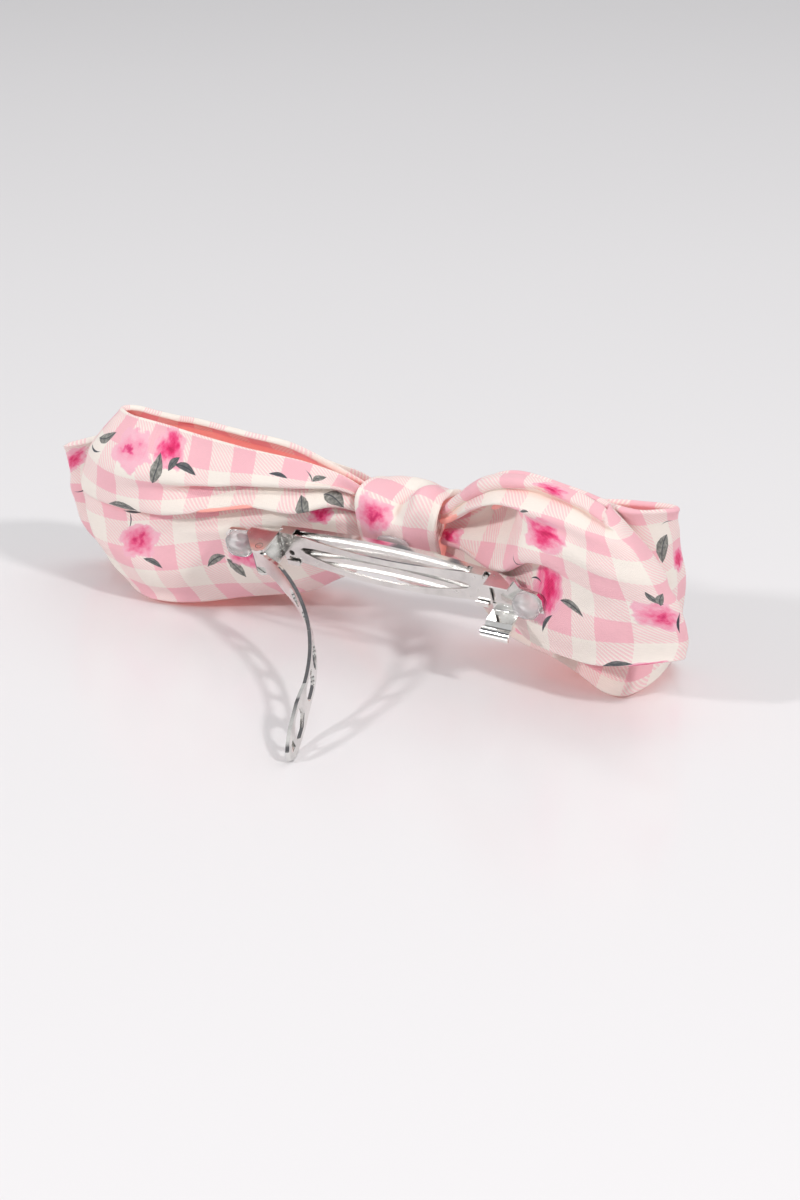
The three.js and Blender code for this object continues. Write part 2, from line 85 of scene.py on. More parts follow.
# ---------- sizes and colours that a user may change ----------
class ClothSettings(bpy.types.PropertyGroup):
    """The printed cotton"""

    thickness: FloatProperty(
        name="Cloth thickness", description="Doubled cloth, face to face",
        default=0.0009, min=0.0003, max=0.003, unit="LENGTH",
    )
    hem: FloatProperty(
        name="Folded edge", description="Thickness of a turned edge",
        default=0.0019, min=0.0003, max=0.004, unit="LENGTH",
    )
    check: FloatProperty(
        name="Check size", description="Width of one gingham square, in millimetres of cloth",
        default=5.9, min=2.0, max=15.0,
    )
    cream: FloatVectorProperty(
        name="Cream", description="Ground colour of the cotton",
        default=(0.95, 0.87, 0.80), subtype="COLOR", min=0, max=1,
    )
    pink: FloatVectorProperty(
        name="Pink", description="Colour of the gingham squares",
        default=(0.95, 0.52, 0.58), subtype="COLOR", min=0, max=1,
    )
    # the wrong side's colour with painted light in it: the warm coral of light shining through the cloth
    wrong_side_and_glow: FloatVectorProperty(
        name="Wrong side", description="Warm tint of the cloth's wrong side",
        default=(0.90, 0.40, 0.36), subtype="COLOR", min=0, max=1,
    )


class MetalSettings(bpy.types.PropertyGroup):
    """The plated clip"""

    edge: FloatProperty(
        name="Edge rounding", description="Radius of the pressed edges",
        default=0.00011, min=0.00002, max=0.0005, unit="LENGTH",
    )
    nickel: FloatVectorProperty(
        name="Nickel", description="Colour of the plating",
        default=(0.86, 0.85, 0.83), subtype="COLOR", min=0, max=1,
    )


class StageSettings(bpy.types.PropertyGroup):
    """Table, lamps and camera"""

    table: FloatVectorProperty(
        name="Table", description="Colour of the glossy table",
        default=(0.86, 0.845, 0.86), subtype="COLOR", min=0, max=1,
    )
    lamp: FloatProperty(
        name="Lamp power", description="Power of each of the two front lamps",
        default=10.0, min=0.0, max=80.0, unit="POWER",
    )
    room: FloatProperty(
        name="Room light", description="Strength of the soft light from all round",
        default=0.565, min=0.0, max=3.0,
    )


# ---------- shader tools ----------
class Nodes:
    """A node tree with short ways to add and join nodes."""

    def __init__(self, tree):
        self.tree = tree

    def add(self, kind, inputs=(), **settings):
        node = self.tree.nodes.new(kind)
        for name, value in settings.items():
            setattr(node, name, value)
        for name, value in dict(inputs).items():
            self.feed(node.inputs[name], value)
        return node

    def feed(self, socket, value):
        if isinstance(value, bpy.types.NodeSocket):
            self.tree.links.new(value, socket)
        else:
            socket.default_value = value

    def math(self, operation, *values, clamp=False):
        node = self.add("ShaderNodeMath", operation=operation, use_clamp=clamp)
        for socket, value in zip(node.inputs, values):
            self.feed(socket, value)
        return node.outputs[0]

    def vector(self, operation, *values, out=0):
        node = self.add("ShaderNodeVectorMath", operation=operation)
        for socket, value in zip(node.inputs, values):
            self.feed(socket, value)
        return node.outputs[out]

    def mix(self, factor, a, b):
        """Two colours mixed; 6, 7 and 2 are the mix node's colour sockets."""
        node = self.add("ShaderNodeMix", data_type="RGBA")
        self.feed(node.inputs[0], factor)
        self.feed(node.inputs[6], a)
        self.feed(node.inputs[7], b)
        return node.outputs[2]

    def smooth(self, value, low, high):
        node = self.add("ShaderNodeMapRange", interpolation_type="SMOOTHSTEP")
        self.feed(node.inputs["Value"], value)
        node.inputs["From Min"].default_value = low
        node.inputs["From Max"].default_value = high
        return node.outputs["Result"]

    def noise(self, vector, scale, detail=3.0, out="Fac"):
        inputs = {"Vector": vector, "Scale": scale, "Detail": detail}
        return self.add("ShaderNodeTexNoise", inputs).outputs[out]

    def place(self):
        """Where on the finished piece a point lies, in metres."""
        return self.add("ShaderNodeTexCoord").outputs["Object"]

    def axes(self, vector):
        return self.add("ShaderNodeSeparateXYZ", {"Vector": vector}).outputs

    def alike(self, value):
        """A vector with the same value three times."""
        return self.add("ShaderNodeCombineXYZ", {axis: value for axis in "XYZ"}).outputs[0]

    def turned(self, vector, angle):
        inputs = {"Vector": vector, "Angle": angle}
        return self.add("ShaderNodeVectorRotate", inputs, rotation_type="Z_AXIS").outputs[0]

    def bump(self, shader, height, strength, distance):
        inputs = {"Height": height, "Strength": strength, "Distance": distance}
        self.feed(shader.inputs["Normal"], self.add("ShaderNodeBump", inputs).outputs[0])

    def ramp(self, value, stops):
        node = self.add("ShaderNodeValToRGB", {"Fac": value})
        elements = node.color_ramp.elements
        while len(elements) < len(stops):
            elements.new(0.5)
        for element, (place, colour) in zip(elements, stops):
            element.position = place
            element.color = (*colour, 1)
        return node.outputs["Color"]


def new_group(name, inputs, outputs):
    """A shader node group with named sockets; returns its tools and its input sockets by name."""
    tree = bpy.data.node_groups.new(name, "ShaderNodeTree")
    for socket_name, kind, value in inputs:
        socket = tree.interface.new_socket(name=socket_name, in_out="INPUT", socket_type=kind)
        if value is not None:
            socket.default_value = value
    for socket_name, kind in outputs:
        tree.interface.new_socket(name=socket_name, in_out="OUTPUT", socket_type=kind)
    nodes = Nodes(tree)
    return nodes, nodes.add("NodeGroupInput").outputs, nodes.add("NodeGroupOutput").inputs


def use_group(nodes, name, inputs):
    return nodes.add("ShaderNodeGroup", inputs, node_tree=bpy.data.node_groups[name]).outputs


VECTOR, FLOAT, COLOUR = "NodeSocketVector", "NodeSocketFloat", "NodeSocketColor"

# The printed cotton, in millimetres of cloth where it's a length.
LINE_PITCH = 0.95  # from one fine diagonal line to the next
RIB_RATE, WEFT_RATE = 13.2, 31.0  # radians of the twill's ribs and of its weft in a millimetre
HEM_FROM, HEM_TO = 4.4, 5.0  # where the printed hem on the wrong side gives way to the lining
# share of the lining colour, with its painted through-light, over the printed side
LINING_COVER = 0.8
LINING_GLOW = 0.22  # painted glow: emission for light that comes through the single layer from its other side
CREASE_LIGHT_TINT, CREASE_COVER = (1.0, 0.70, 0.64), 0.75  # painted light and shade in creases: a warmer, deeper colour for light that has gone through a fold
LEAF_BEND = 0.25


def make_groups():
    """The print, the weave and the metal grain, each built once."""
    # Gingham: full squares where two bands cross, fine diagonal lines where one band runs alone.
    n, a, out = new_group(
        "Gingham", [("Cloth", VECTOR, None), ("Check", FLOAT, 6.0)], [("Tone", FLOAT)],
    )
    axes = n.axes(a["Cloth"])
    bands = []
    for axis in (axes["X"], axes["Y"]):
        repeat = n.math("DIVIDE", axis, n.math("MULTIPLY", a["Check"], 2.0))
        bands.append(n.smooth(n.math("PINGPONG", repeat, 0.5), 0.244, 0.256))
    line = n.math("FRACT", n.math("DIVIDE", n.math("ADD", axes["X"], axes["Y"]), LINE_PITCH))
    line = n.smooth(n.math("PINGPONG", line, 0.5), 0.16, 0.3)
    crossing = n.math("MULTIPLY", *bands)
    single = n.math("SUBTRACT", n.math("MAXIMUM", *bands), crossing)
    half = n.math("MULTIPLY", single, n.math("MULTIPLY_ADD", line, 0.5, 0.10))
    n.feed(out["Tone"], n.math("ADD", crossing, half, clamp=True))

    # Blossom: a watercolour rose, deep in the middle, with ragged petals.
    n, a, out = new_group(
        "Blossom",
        [("Cloth", VECTOR, None), ("Centre", VECTOR, None), ("Size", FLOAT, 6.0),
         ("Stretch", FLOAT, 1.0), ("Turn", FLOAT, 0.0), ("Depth", FLOAT, 1.0)],
        [("Colour", COLOUR), ("Mask", FLOAT)],
    )
    place = n.vector("SUBTRACT", a["Cloth"], a["Centre"])
    stretch = n.add("ShaderNodeCombineXYZ", {"X": 1.0, "Y": a["Stretch"], "Z": 1.0}).outputs[0]
    stretched = n.vector("MULTIPLY", n.turned(place, a["Turn"]), stretch)
    scaled = n.vector("DIVIDE", stretched, n.alike(a["Size"]))
    shifted = n.vector("ADD", scaled, a["Centre"])
    wash = n.noise(shifted, 1.7, 4.0, out="Color")
    warp = n.vector("MULTIPLY", n.vector("SUBTRACT", wash, (0.5, 0.5, 0.5)), (0.85, 0.85, 0.0))
    petal = n.vector("ADD", scaled, warp)
    radius = n.vector("LENGTH", petal, out=1)
    parts = n.axes(petal)
    angle = n.math("ARCTAN2", parts["Y"], parts["X"])
    lobe = n.math("MULTIPLY", n.math("COSINE", n.math("MULTIPLY", angle, 5.0)), 0.11)
    edge = n.math("ADD", radius, lobe)
    streak = n.noise(shifted, 3.0, 4.0)
    cells = n.add("ShaderNodeTexVoronoi", {"Vector": n.vector("ADD", petal, a["Centre"]), "Scale": 1.9})
    tone = n.math("ADD", radius, n.math("MULTIPLY", n.math("SUBTRACT", streak, 0.5), 1.1))
    tone = n.math("ADD", tone, n.math("MULTIPLY", n.math("SUBTRACT", cells.outputs["Distance"], 0.4), 0.45))
    deep = n.ramp(tone, [
        (0.0, (0.62, 0.012, 0.10)), (0.26, (0.84, 0.03, 0.17)), (0.5, (0.90, 0.115, 0.29)),
        (0.72, (0.94, 0.30, 0.44)), (0.98, (0.95, 0.50, 0.60)),
    ])
    pale = n.ramp(tone, [
        (0.0, (0.70, 0.04, 0.18)), (0.18, (0.88, 0.13, 0.31)), (0.38, (0.94, 0.36, 0.50)),
        (0.9, (0.95, 0.52, 0.62)),
    ])
    n.feed(out["Colour"], n.mix(a["Depth"], pale, deep))
    n.feed(out["Mask"], n.math("SUBTRACT", 1.0, n.smooth(edge, 0.94, 1.06)))

    # Leaf: a pointed blade with a dark midrib, or a bent stem when it is narrow.
    n, a, out = new_group(
        "Leaf",
        [("Cloth", VECTOR, None), ("Centre", VECTOR, None), ("Size", FLOAT, 4.0),
         ("Width", FLOAT, 0.42), ("Turn", FLOAT, 0.0), ("Bend", FLOAT, 0.2), ("Dark", FLOAT, 0.0)],
        [("Colour", COLOUR), ("Mask", FLOAT)],
    )
    place = n.vector("SUBTRACT", a["Cloth"], a["Centre"])
    parts = n.axes(n.turned(place, a["Turn"]))
    along = n.math("DIVIDE", parts["X"], a["Size"])
    square = n.math("MULTIPLY", along, along)
    across = n.math("SUBTRACT", n.math("DIVIDE", parts["Y"], a["Size"]),
                    n.math("MULTIPLY", square, a["Bend"]))
    ragged = n.math("MULTIPLY_ADD", n.noise(place, 0.9, 4.0), 0.5, 0.75)
    half_width = n.math("MULTIPLY", n.math("MULTIPLY", n.math("SUBTRACT", 1.0, square), a["Width"]), ragged)
    inside = n.math("SUBTRACT", half_width, n.math("ABSOLUTE", across))
    vein = n.smooth(n.math("ABSOLUTE", across), 0.015, 0.06)
    blade = n.ramp(n.noise(place, 1.1, 5.0), [
        (0.30, (0.10, 0.105, 0.105)), (0.46, (0.22, 0.22, 0.20)), (0.66, (0.40, 0.39, 0.36)),
    ])
    veined = n.mix(vein, (0.075, 0.08, 0.09, 1), blade)
    n.feed(out["Colour"], n.mix(a["Dark"], veined, (0.05, 0.058, 0.075, 1)))
    n.feed(out["Mask"], n.smooth(inside, 0.0, 0.05))

    # Weave: the height of a fine twill.
    n, a, out = new_group("Weave", [("Cloth", VECTOR, None)], [("Height", FLOAT), ("Tint", FLOAT)])
    axes = n.axes(a["Cloth"])
    rib = n.math("SINE", n.math("MULTIPLY", n.math("ADD", axes["X"], axes["Y"]), RIB_RATE))
    weft = n.math("SINE", n.math("MULTIPLY", n.math("SUBTRACT", axes["X"], axes["Y"]), WEFT_RATE))
    slub = n.noise(n.vector("MULTIPLY", a["Cloth"], (0.5, 4.0, 1.0)), 1.6, 3.0)
    height = n.math("MULTIPLY_ADD", weft, 0.35, rib)
    n.feed(out["Height"], n.math("MULTIPLY_ADD", slub, 1.2, height))
    n.feed(out["Tint"], n.math("MULTIPLY_ADD", slub, 0.12, 0.93))

    # Plating: a soft roughness change, hairline scratches and a few dull spots.
    n, a, out = new_group(
        "Plating",
        [("Base", FLOAT, 0.12), ("Wear", FLOAT, 0.15)],
        [("Roughness", FLOAT), ("Height", FLOAT)],
    )
    place = n.place()
    cloud = n.noise(place, 420.0, 4.0)
    hair = n.noise(n.vector("MULTIPLY", place, (260.0, 3200.0, 3200.0)), 1.0, 2.0)
    spots = n.smooth(n.noise(place, 900.0, 2.0), 0.66, 0.74)
    rough = n.math("MULTIPLY_ADD", cloud, a["Wear"], a["Base"])
    rough = n.math("MULTIPLY_ADD", n.smooth(hair, 0.6, 0.75), 0.08, rough)
    n.feed(out["Roughness"], n.math("MULTIPLY_ADD", spots, 0.18, rough, clamp=True))
    n.feed(out["Height"], n.math("MULTIPLY_ADD", hair, 0.3, cloud))


def new_material(name, **sockets):
    """A material with a plain Principled shader, its tools and the shader node."""
    material = bpy.data.materials.new(name)
    material.use_nodes = True
    nodes = Nodes(material.node_tree)
    shader = material.node_tree.nodes["Principled BSDF"]
    for socket, value in sockets.items():
        shader.inputs[socket.replace("_", " ")].default_value = value
    return material, nodes, shader


def rgba(colour):
    return (*colour, 1.0)


def darker(colour, share):
    return tuple(part * share for part in colour)


def nickel_material(name, colour, base, wear):
    material, n, shader = new_material(name, Metallic=1.0)
    plating = use_group(n, "Plating", {"Base": base, "Wear": wear})
    place = n.place()
    stain = n.smooth(n.noise(place, 240.0, 3.0), 0.45, 0.8)
    n.feed(shader.inputs["Base Color"], n.mix(stain, rgba(colour), rgba(darker(colour, 0.82))))
    n.feed(shader.inputs["Roughness"], plating["Roughness"])
    n.bump(shader, plating["Height"], 0.10, 0.00004)
    return material


def glue_material():
    material, n, shader = new_material(
        "hot glue", Transmission_Weight=0.72, IOR=1.42, Coat_Weight=0.2,
    )
    place = n.place()
    cloud = n.noise(place, 380.0, 3.0)
    n.feed(shader.inputs["Base Color"], n.ramp(cloud, [
        (0.3, (0.95, 0.92, 0.94)), (0.6, (0.99, 0.98, 0.98)), (0.8, (0.97, 0.90, 0.93))]))
    n.feed(shader.inputs["Roughness"], n.math("MULTIPLY_ADD", cloud, 0.2, 0.10))
    n.bump(shader, n.noise(place, 900.0, 2.0), 0.15, 0.0001)
    return material


def thread_material():
    material, n, shader = new_material("thread")
    place = n.place()
    strand = n.math("SINE", n.math("MULTIPLY", n.axes(place)["X"], 12000.0))
    n.feed(shader.inputs["Base Color"], n.mix(
        n.math("MULTIPLY_ADD", strand, 0.5, 0.5), (0.62, 0.60, 0.58, 1), (0.86, 0.84, 0.82, 1)))
    n.feed(shader.inputs["Roughness"], n.math("MULTIPLY_ADD", strand, 0.1, 0.6))
    n.bump(shader, strand, 0.6, 0.0001)
    return material


def print_material(name, motifs, lined_width=0.0, shift=(0.0, 0.0), mirrored=False):
    """Printed cotton: gingham under the given flowers and leaves, in the cloth's own millimetres.

    With a lined width it is the cloth's wrong side instead: a plain lining between two hems, its warm
    colour and glow painted light that comes through the cloth."""
    look = bpy.context.scene.hairclip_cloth
    material, n, shader = new_material(name, Sheen_Weight=0.12, Sheen_Roughness=0.5)
    cloth = n.add("ShaderNodeUVMap", uv_map="Cloth").outputs[0]
    cloth = n.vector("ADD", cloth, (*shift, 0.0))
    sides = n.vector("MULTIPLY", cloth, (-1.0 if mirrored else 1.0, 1.0, 1.0))
    tone = use_group(n, "Gingham", {"Cloth": sides, "Check": look.check})["Tone"]
    colour = n.mix(tone, rgba(look.cream), rgba(look.pink))
    for kind, centre, size, shape, turn, extra in motifs:
        centre = (centre[0] + shift[0], centre[1] + shift[1], 0.0)
        inputs = {"Cloth": cloth, "Centre": centre, "Size": size, "Turn": math.radians(turn)}
        if kind == "Blossom":
            inputs.update({"Stretch": shape, "Depth": extra})
        else:
            inputs.update({"Width": shape, "Bend": LEAF_BEND, "Dark": extra})
        motif = use_group(n, kind, inputs)
        colour = n.mix(motif["Mask"], colour, motif["Colour"])
    weave = use_group(n, "Weave", {"Cloth": cloth})
    colour = n.vector("MULTIPLY", colour, n.alike(weave["Tint"]))
    if lined_width:
        # the turned hems along both edges still show the printed side
        half = lined_width / 2
        across = n.math("SUBTRACT", n.axes(cloth)["Y"], shift[1] + half)
        inner = n.smooth(n.math("ABSOLUTE", across), half - HEM_FROM, half - HEM_TO)
        # painted light: the warm lining colour and its faint glow stand for light coming through the cloth
        colour = n.mix(n.math("MULTIPLY", inner, LINING_COVER), colour, rgba(look.wrong_side_and_glow))
        n.feed(shader.inputs["Emission Color"], n.mix(inner, (0, 0, 0, 1), rgba(look.wrong_side_and_glow)))
        shader.inputs["Emission Strength"].default_value = LINING_GLOW
    # painted light and shade: the colour turns warmer and deeper in the creases, by the fold's depth
    valley = n.add("ShaderNodeAttribute", attribute_name="Valley").outputs["Fac"]
    painted_crease_colour = n.vector("MULTIPLY", colour, CREASE_LIGHT_TINT)
    n.feed(shader.inputs["Base Color"], n.mix(n.math("MULTIPLY", valley, CREASE_COVER), colour, painted_crease_colour))
    n.feed(shader.inputs["Roughness"], n.math("MULTIPLY_ADD", weave["Height"], 0.04, 0.86))
    n.bump(shader, weave["Height"], 0.35, 0.00006)
    return material


# ---------- mesh tools ----------
def link(mesh, name):
    piece = bpy.data.objects.new(name, mesh)
    bpy.context.scene.collection.objects.link(piece)
    return piece


def from_bmesh(bm, name):
    mesh = bpy.data.meshes.new(name)
    bm.to_mesh(mesh)
    bm.free()
    return link(mesh, name)


def smooth_shaded(piece):
    piece.data.polygons.foreach_set("use_smooth", [True] * len(piece.data.polygons))
    return piece


def add_subdivision(piece, levels):
    modifier = piece.modifiers.new("Subdivision", "SUBSURF")
    modifier.levels = modifier.render_levels = levels


MERGE = 0.000004  # points nearer than this are one point, m
SEAM_REACH = 0.00022  # points this near the arm's seam are drawn onto it, m
SEAM_MERGE = MERGE * 5
FLAT = 0.2  # faces that meet at less than this are one flat face, degrees
EDGE_SEGMENTS = 3
PRESSED_CORNER, LEVER_CORNER = 32, 40  # corners sharper than this are rounded, degrees
LEVER_EDGE = 0.00013  # m


def round_edges(piece, width, corner):
    """Rounded edges between faces that still look flat."""
    bevel = piece.modifiers.new("Edges", "BEVEL")
    bevel.width, bevel.segments = width, EDGE_SEGMENTS
    bevel.limit_method, bevel.angle_limit = "ANGLE", math.radians(corner)
    shading = piece.modifiers.new("Flat faces", "WEIGHTED_NORMAL")
    shading.weight, shading.keep_sharp = 100, True


def pressed_metal(name, nodes, material, seam=None, rounding=1.0):
    """A pressed metal piece: the frame's solids, merged, joined at the seam and given rounded edges."""
    bm = bmesh.new()
    for node in nodes:
        bm.from_mesh(frame["nodes"][node].data)
    bmesh.ops.remove_doubles(bm, verts=bm.verts, dist=MERGE)
    if seam:
        point, direction = seam
        near = [v for v in bm.verts if abs((v.co - point).dot(direction)) < SEAM_REACH]
        for vert in near:
            vert.co -= direction * (vert.co - point).dot(direction)
        chosen = set(near)
        walls = [f for f in bm.faces if all(v in chosen for v in f.verts)]
        bmesh.ops.delete(bm, geom=walls, context="FACES")
        bmesh.ops.remove_doubles(bm, verts=[v for v in near if v.is_valid], dist=SEAM_MERGE)
    bmesh.ops.dissolve_limit(bm, angle_limit=math.radians(FLAT), verts=bm.verts, edges=bm.edges)
    piece = smooth_shaded(from_bmesh(bm, name))
    piece.data.materials.clear()
    piece.data.materials.append(material)
    round_edges(piece, bpy.context.scene.hairclip_metal.edge * rounding, PRESSED_CORNER)
    return piece


# The lever's bent strip, from its foot, in the clip's y and z, mm: runs by (y, z), and turns about
# (y, z) by degrees with the share of the width that is left after each.
LEVER_START = (-2.3, 4.33)
LIP_CENTRE = (-6.0, 9.83)
LEVER_PATH = (
    ("run", -1.4, 0.0),
    ("turn", -3.7, 4.83, -90, 1.0),
    ("run", 0.0, 3.2),
    ("run", -0.9, 0.9),
    ("turn", *LIP_CENTRE, 20, 1.06),
    ("turn", *LIP_CENTRE, 90, 1.0),
    ("turn", *LIP_CENTRE, 30, 0.97),
    ("turn", *LIP_CENTRE, 30, 0.9),
    ("turn", *LIP_CENTRE, 20, 0.82),
)
LEVER_WIDTH = 6.4
LEVER_X = 30.3
LEVER_SHEET = 0.5
TOOTH_SIZE = (3.6, 0.34, 1)  # along the lever and out from its wall; as thick as the sheet
TOOTH_PLACE = (LEVER_X, -4.03, 7.98)
TURN_STEP, FEWEST_STEPS = 10, 3
LEVER_MERGE = 0.01


def press_lever(name, material):
    """The release lever: one strip bent from foot to wall to a fat rolled thumb lip, with its tooth."""
    bm = bmesh.new()
    ends = [bm.verts.new((LEVER_X + side * LEVER_WIDTH / 2, *LEVER_START)) for side in (-1, 1)]
    edge = bm.edges.new(ends)
    for kind, y, z, *bend in LEVER_PATH:
        if kind == "run":
            made = bmesh.ops.extrude_edge_only(bm, edges=[edge])["geom"]
            verts = [v for v in made if isinstance(v, bmesh.types.BMVert)]
            bmesh.ops.translate(bm, vec=(0, y, z), verts=verts)
        else:
            degrees, share = bend
            steps = max(FEWEST_STEPS, abs(degrees) // TURN_STEP)
            made = bmesh.ops.spin(bm, geom=[*edge.verts, edge], cent=(LEVER_X, y, z), axis=(1, 0, 0),
                                  angle=math.radians(degrees), steps=steps)["geom_last"]
            verts = [v for v in made if isinstance(v, bmesh.types.BMVert)]
            narrow = Matrix.Translation((LEVER_X, 0, 0)) @ Matrix.Diagonal((share, 1, 1, 1))
            bmesh.ops.transform(bm, matrix=narrow @ Matrix.Translation((-LEVER_X, 0, 0)), verts=verts)
        edges = [e for e in made if isinstance(e, bmesh.types.BMEdge)]
        edge = next(e for e in edges if set(e.verts) == set(verts))
    bmesh.ops.remove_doubles(bm, verts=bm.verts, dist=LEVER_MERGE)
    bmesh.ops.recalc_face_normals(bm, faces=bm.faces)
    made = bmesh.ops.create_grid(bm, x_segments=1, y_segments=1, size=0.5)["verts"]
    bmesh.ops.scale(bm, vec=TOOTH_SIZE, verts=made)
    bmesh.ops.translate(bm, vec=TOOTH_PLACE, verts=made)
    to_model = Matrix.Translation(CLIP_ORIGIN) @ CLIP_AXES.to_4x4() @ Matrix.Scale(MM, 4)
    bmesh.ops.transform(bm, matrix=to_model, verts=bm.verts)
    piece = smooth_shaded(from_bmesh(bm, name))
    piece.data.materials.append(material)
    solid = piece.modifiers.new("Thickness", "SOLIDIFY")
    solid.thickness, solid.offset = LEVER_SHEET * MM, 0.0
    round_edges(piece, LEVER_EDGE, LEVER_CORNER)
    return piece


def spline(points, place):
    """A smooth value through evenly numbered points; place runs from 0 to the last number."""
    last = len(points) - 1
    index = min(int(place), last - 1)
    t = place - index
    a = points[max(index - 1, 0)]
    b, c = points[index], points[index + 1]
    d = points[min(index + 2, last)]
    return 0.5 * ((2 * b) + (c - a) * t + (2 * a - 5 * b + 4 * c - d) * t * t
                  + (3 * b - a - 3 * c + d) * t ** 3)


def lengths(rows):
    """Running length through the rows, averaged over their points."""
    run = [0.0]
    for before, after in zip(rows, rows[1:]):
        gaps = [(q - p).length for p, q in zip(before, after)]
        run.append(run[-1] + sum(gaps) / len(gaps))
    return run


def number_at(run, distance):
    """The row number, with its fraction, at a distance along the running length."""
    for index in range(len(run) - 1):
        if distance <= run[index + 1] or index == len(run) - 2:
            return index + (distance - run[index]) / (run[index + 1] - run[index])


# How the cloth lies, mm.
TABLE_CLEARANCE = 0.7  # from the table to the cloth's middle layer
GATHER_REACH = 17.0  # how fast the gathers die out along the loop
GATHER_START = 4.0  # the first stretch, where they grow from nothing
GATHER_RATES = (34, 57)  # radians of the two waves across the strip's width
CALM_EDGE = 4.0  # towards each hem the gathers die out over this width
FAST_SHARE = 0.6  # the second wave's height against the first
SWELL_RATES, SWELL_SEED = (0.055, 0.11), 3.1  # soft swells in a millimetre, along and across
WRINKLE_RATES, WRINKLE_SEED = (0.16, 0.22), 7
GATHER_HEIGHT, SWELL_HEIGHT, WRINKLE_HEIGHT = 0.75, 1.1, 0.28
CREASE_DROP = 0.4  # a crease sinks this share of its depth towards the table
TURNED_EDGE = 2.2  # the width over which the cloth thickens to its folded edge
VALLEY_FROM, VALLEY_RANGE = 0.28, 0.6  # slope of a fold's sides where the painted crease light and shade starts
SAMPLES = 90  # places along a strip where its shape is looked up for the print


class Cloth:
    """A strip of printed cloth laid through rows of points, each row across the strip."""

    def __init__(self, name, rows, along, across, seed, gathers=1.0):
        self.name = name
        self.rows = [[Vector(p) for p in row] for row in rows]
        self.along, self.across = along, across
        self.gathers, self.seed = gathers, seed
        self.samples = []
        self.run_u = lengths(self.rows)
        wide = self.rows[len(rows) // 4:-len(rows) // 4]  # the loop without its gathered ends
        self.run_v = lengths([list(column) for column in zip(*wide)])
        self.length, self.width = self.run_u[-1], self.run_v[-1]

    def point(self, u, v):
        place_u, place_v = number_at(self.run_u, u), number_at(self.run_v, v)
        across = [spline(row, place_v) for row in self.rows]
        return spline(across, place_u)

    def shaped(self, u, v):
        """The point with its gathers and small wrinkles, kept above the table."""
        point = self.point(u, v)
        side = (self.point(min(u + 0.5, self.length), v) - self.point(max(u - 0.5, 0), v)).cross(
            self.point(u, min(v + 0.5, self.width)) - self.point(u, max(v - 0.5, 0)))
        if side.length > 1e-6:
            side.normalize()
        near_waist = min(u, self.length - u)
        fade = math.exp(-near_waist / GATHER_REACH) * min(near_waist / GATHER_START, 1.0)
        edge = min(v, self.width - v, CALM_EDGE) / CALM_EDGE
        share = v / self.width
        slow, fast = GATHER_RATES
        wave = math.sin(share * slow + self.seed) + FAST_SHARE * math.sin(share * fast + 2 * self.seed)
        soft = noise.noise(Vector((u * SWELL_RATES[0], v * SWELL_RATES[1], self.seed * SWELL_SEED)))
        fine = noise.noise(Vector((u * WRINKLE_RATES[0], v * WRINKLE_RATES[1], WRINKLE_SEED + self.seed)))
        push = self.gathers * (GATHER_HEIGHT * wave * fade * edge + SWELL_HEIGHT * soft * edge
                               + WRINKLE_HEIGHT * fine)
        placed = at_clip(*(point + side * push))
        placed.z = max(placed.z, TABLE_CLEARANCE * MM)
        return placed

    def nearest(self, target):
        """Where on the flat cloth the point nearest to target lies, in millimetres."""
        if not self.samples:
            for i in range(SAMPLES + 1):
                for j in range(SAMPLES // 2 + 1):
                    u, v = self.length * i / SAMPLES, self.width * j / (SAMPLES // 2)
                    self.samples.append((self.point(u, v), u, v))
        place = Vector(target)
        _, u, v = min(self.samples, key=lambda sample: (sample[0] - place).length)
        return u, v

    def valleys(self, bm):
        """How deep each point lies in a fold across the strip: 0 on a flat or a crest, 1 in a crease; it
        sets where light and shade are painted into the creases.
        """
        bm.normal_update()
        bm.verts.ensure_lookup_table()
        line = self.along + 1
        depths = []
        for vert in bm.verts:
            slope = 0.0
            for step in (line, 2 * line, 3 * line):
                before, after = vert.index - step, vert.index + step
                if before >= 0 and after < len(bm.verts):
                    before, after = bm.verts[before].co, bm.verts[after].co
                    sunk = ((before + after) / 2 - vert.co).dot(vert.normal)
                    slope = max(slope, 2 * sunk / max((after - before).length, MERGE))
            depths.append(min(max((slope - VALLEY_FROM) / VALLEY_RANGE, 0.0), 1.0))
        return depths

    def build(self, right_side, wrong_side, flip=False):
        """The strip as a piece: its mesh, its flat map, its creases, its thickness and its two cloths."""
        look = bpy.context.scene.hairclip_cloth
        bm = bmesh.new()
        bmesh.ops.create_grid(bm, x_segments=self.along, y_segments=self.across, size=0.5)
        uv_map = bm.loops.layers.uv.verify()
        flat = {}
        for vert in bm.verts:
            flat[vert.index] = ((vert.co.x + 0.5) * self.length, (vert.co.y + 0.5) * self.width)
        for face in bm.faces:
            for loop in face.loops:
                loop[uv_map].uv = flat[loop.vert.index]
        for vert in bm.verts:
            vert.co = self.shaped(*flat[vert.index])
        if flip:
            bmesh.ops.reverse_faces(bm, faces=bm.faces)
        valleys = self.valleys(bm)
        piece = from_bmesh(bm, self.name)
        piece.data.uv_layers[0].name = "Cloth"
        smooth_shaded(piece)
        piece.data.attributes.new("Valley", "FLOAT", "POINT").data.foreach_set("value", valleys)
        group = piece.vertex_groups.new(name="Turned edge")
        for index, (_, v) in flat.items():
            share = max(0.0, 1.0 - min(v, self.width - v) / TURNED_EDGE)
            group.add([index], share, "REPLACE")
        piece.data.materials.append(right_side)
        piece.data.materials.append(wrong_side)
        solid = piece.modifiers.new("Thickness", "SOLIDIFY")
        solid.thickness = look.hem
        solid.offset = 0.0
        solid.vertex_group = group.name
        solid.thickness_vertex_group = look.thickness / look.hem
        solid.use_even_offset = False
        solid.material_offset = 1
        solid.use_rim = True
        add_subdivision(piece, 1)
        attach(piece, "clip_body")
        return piece

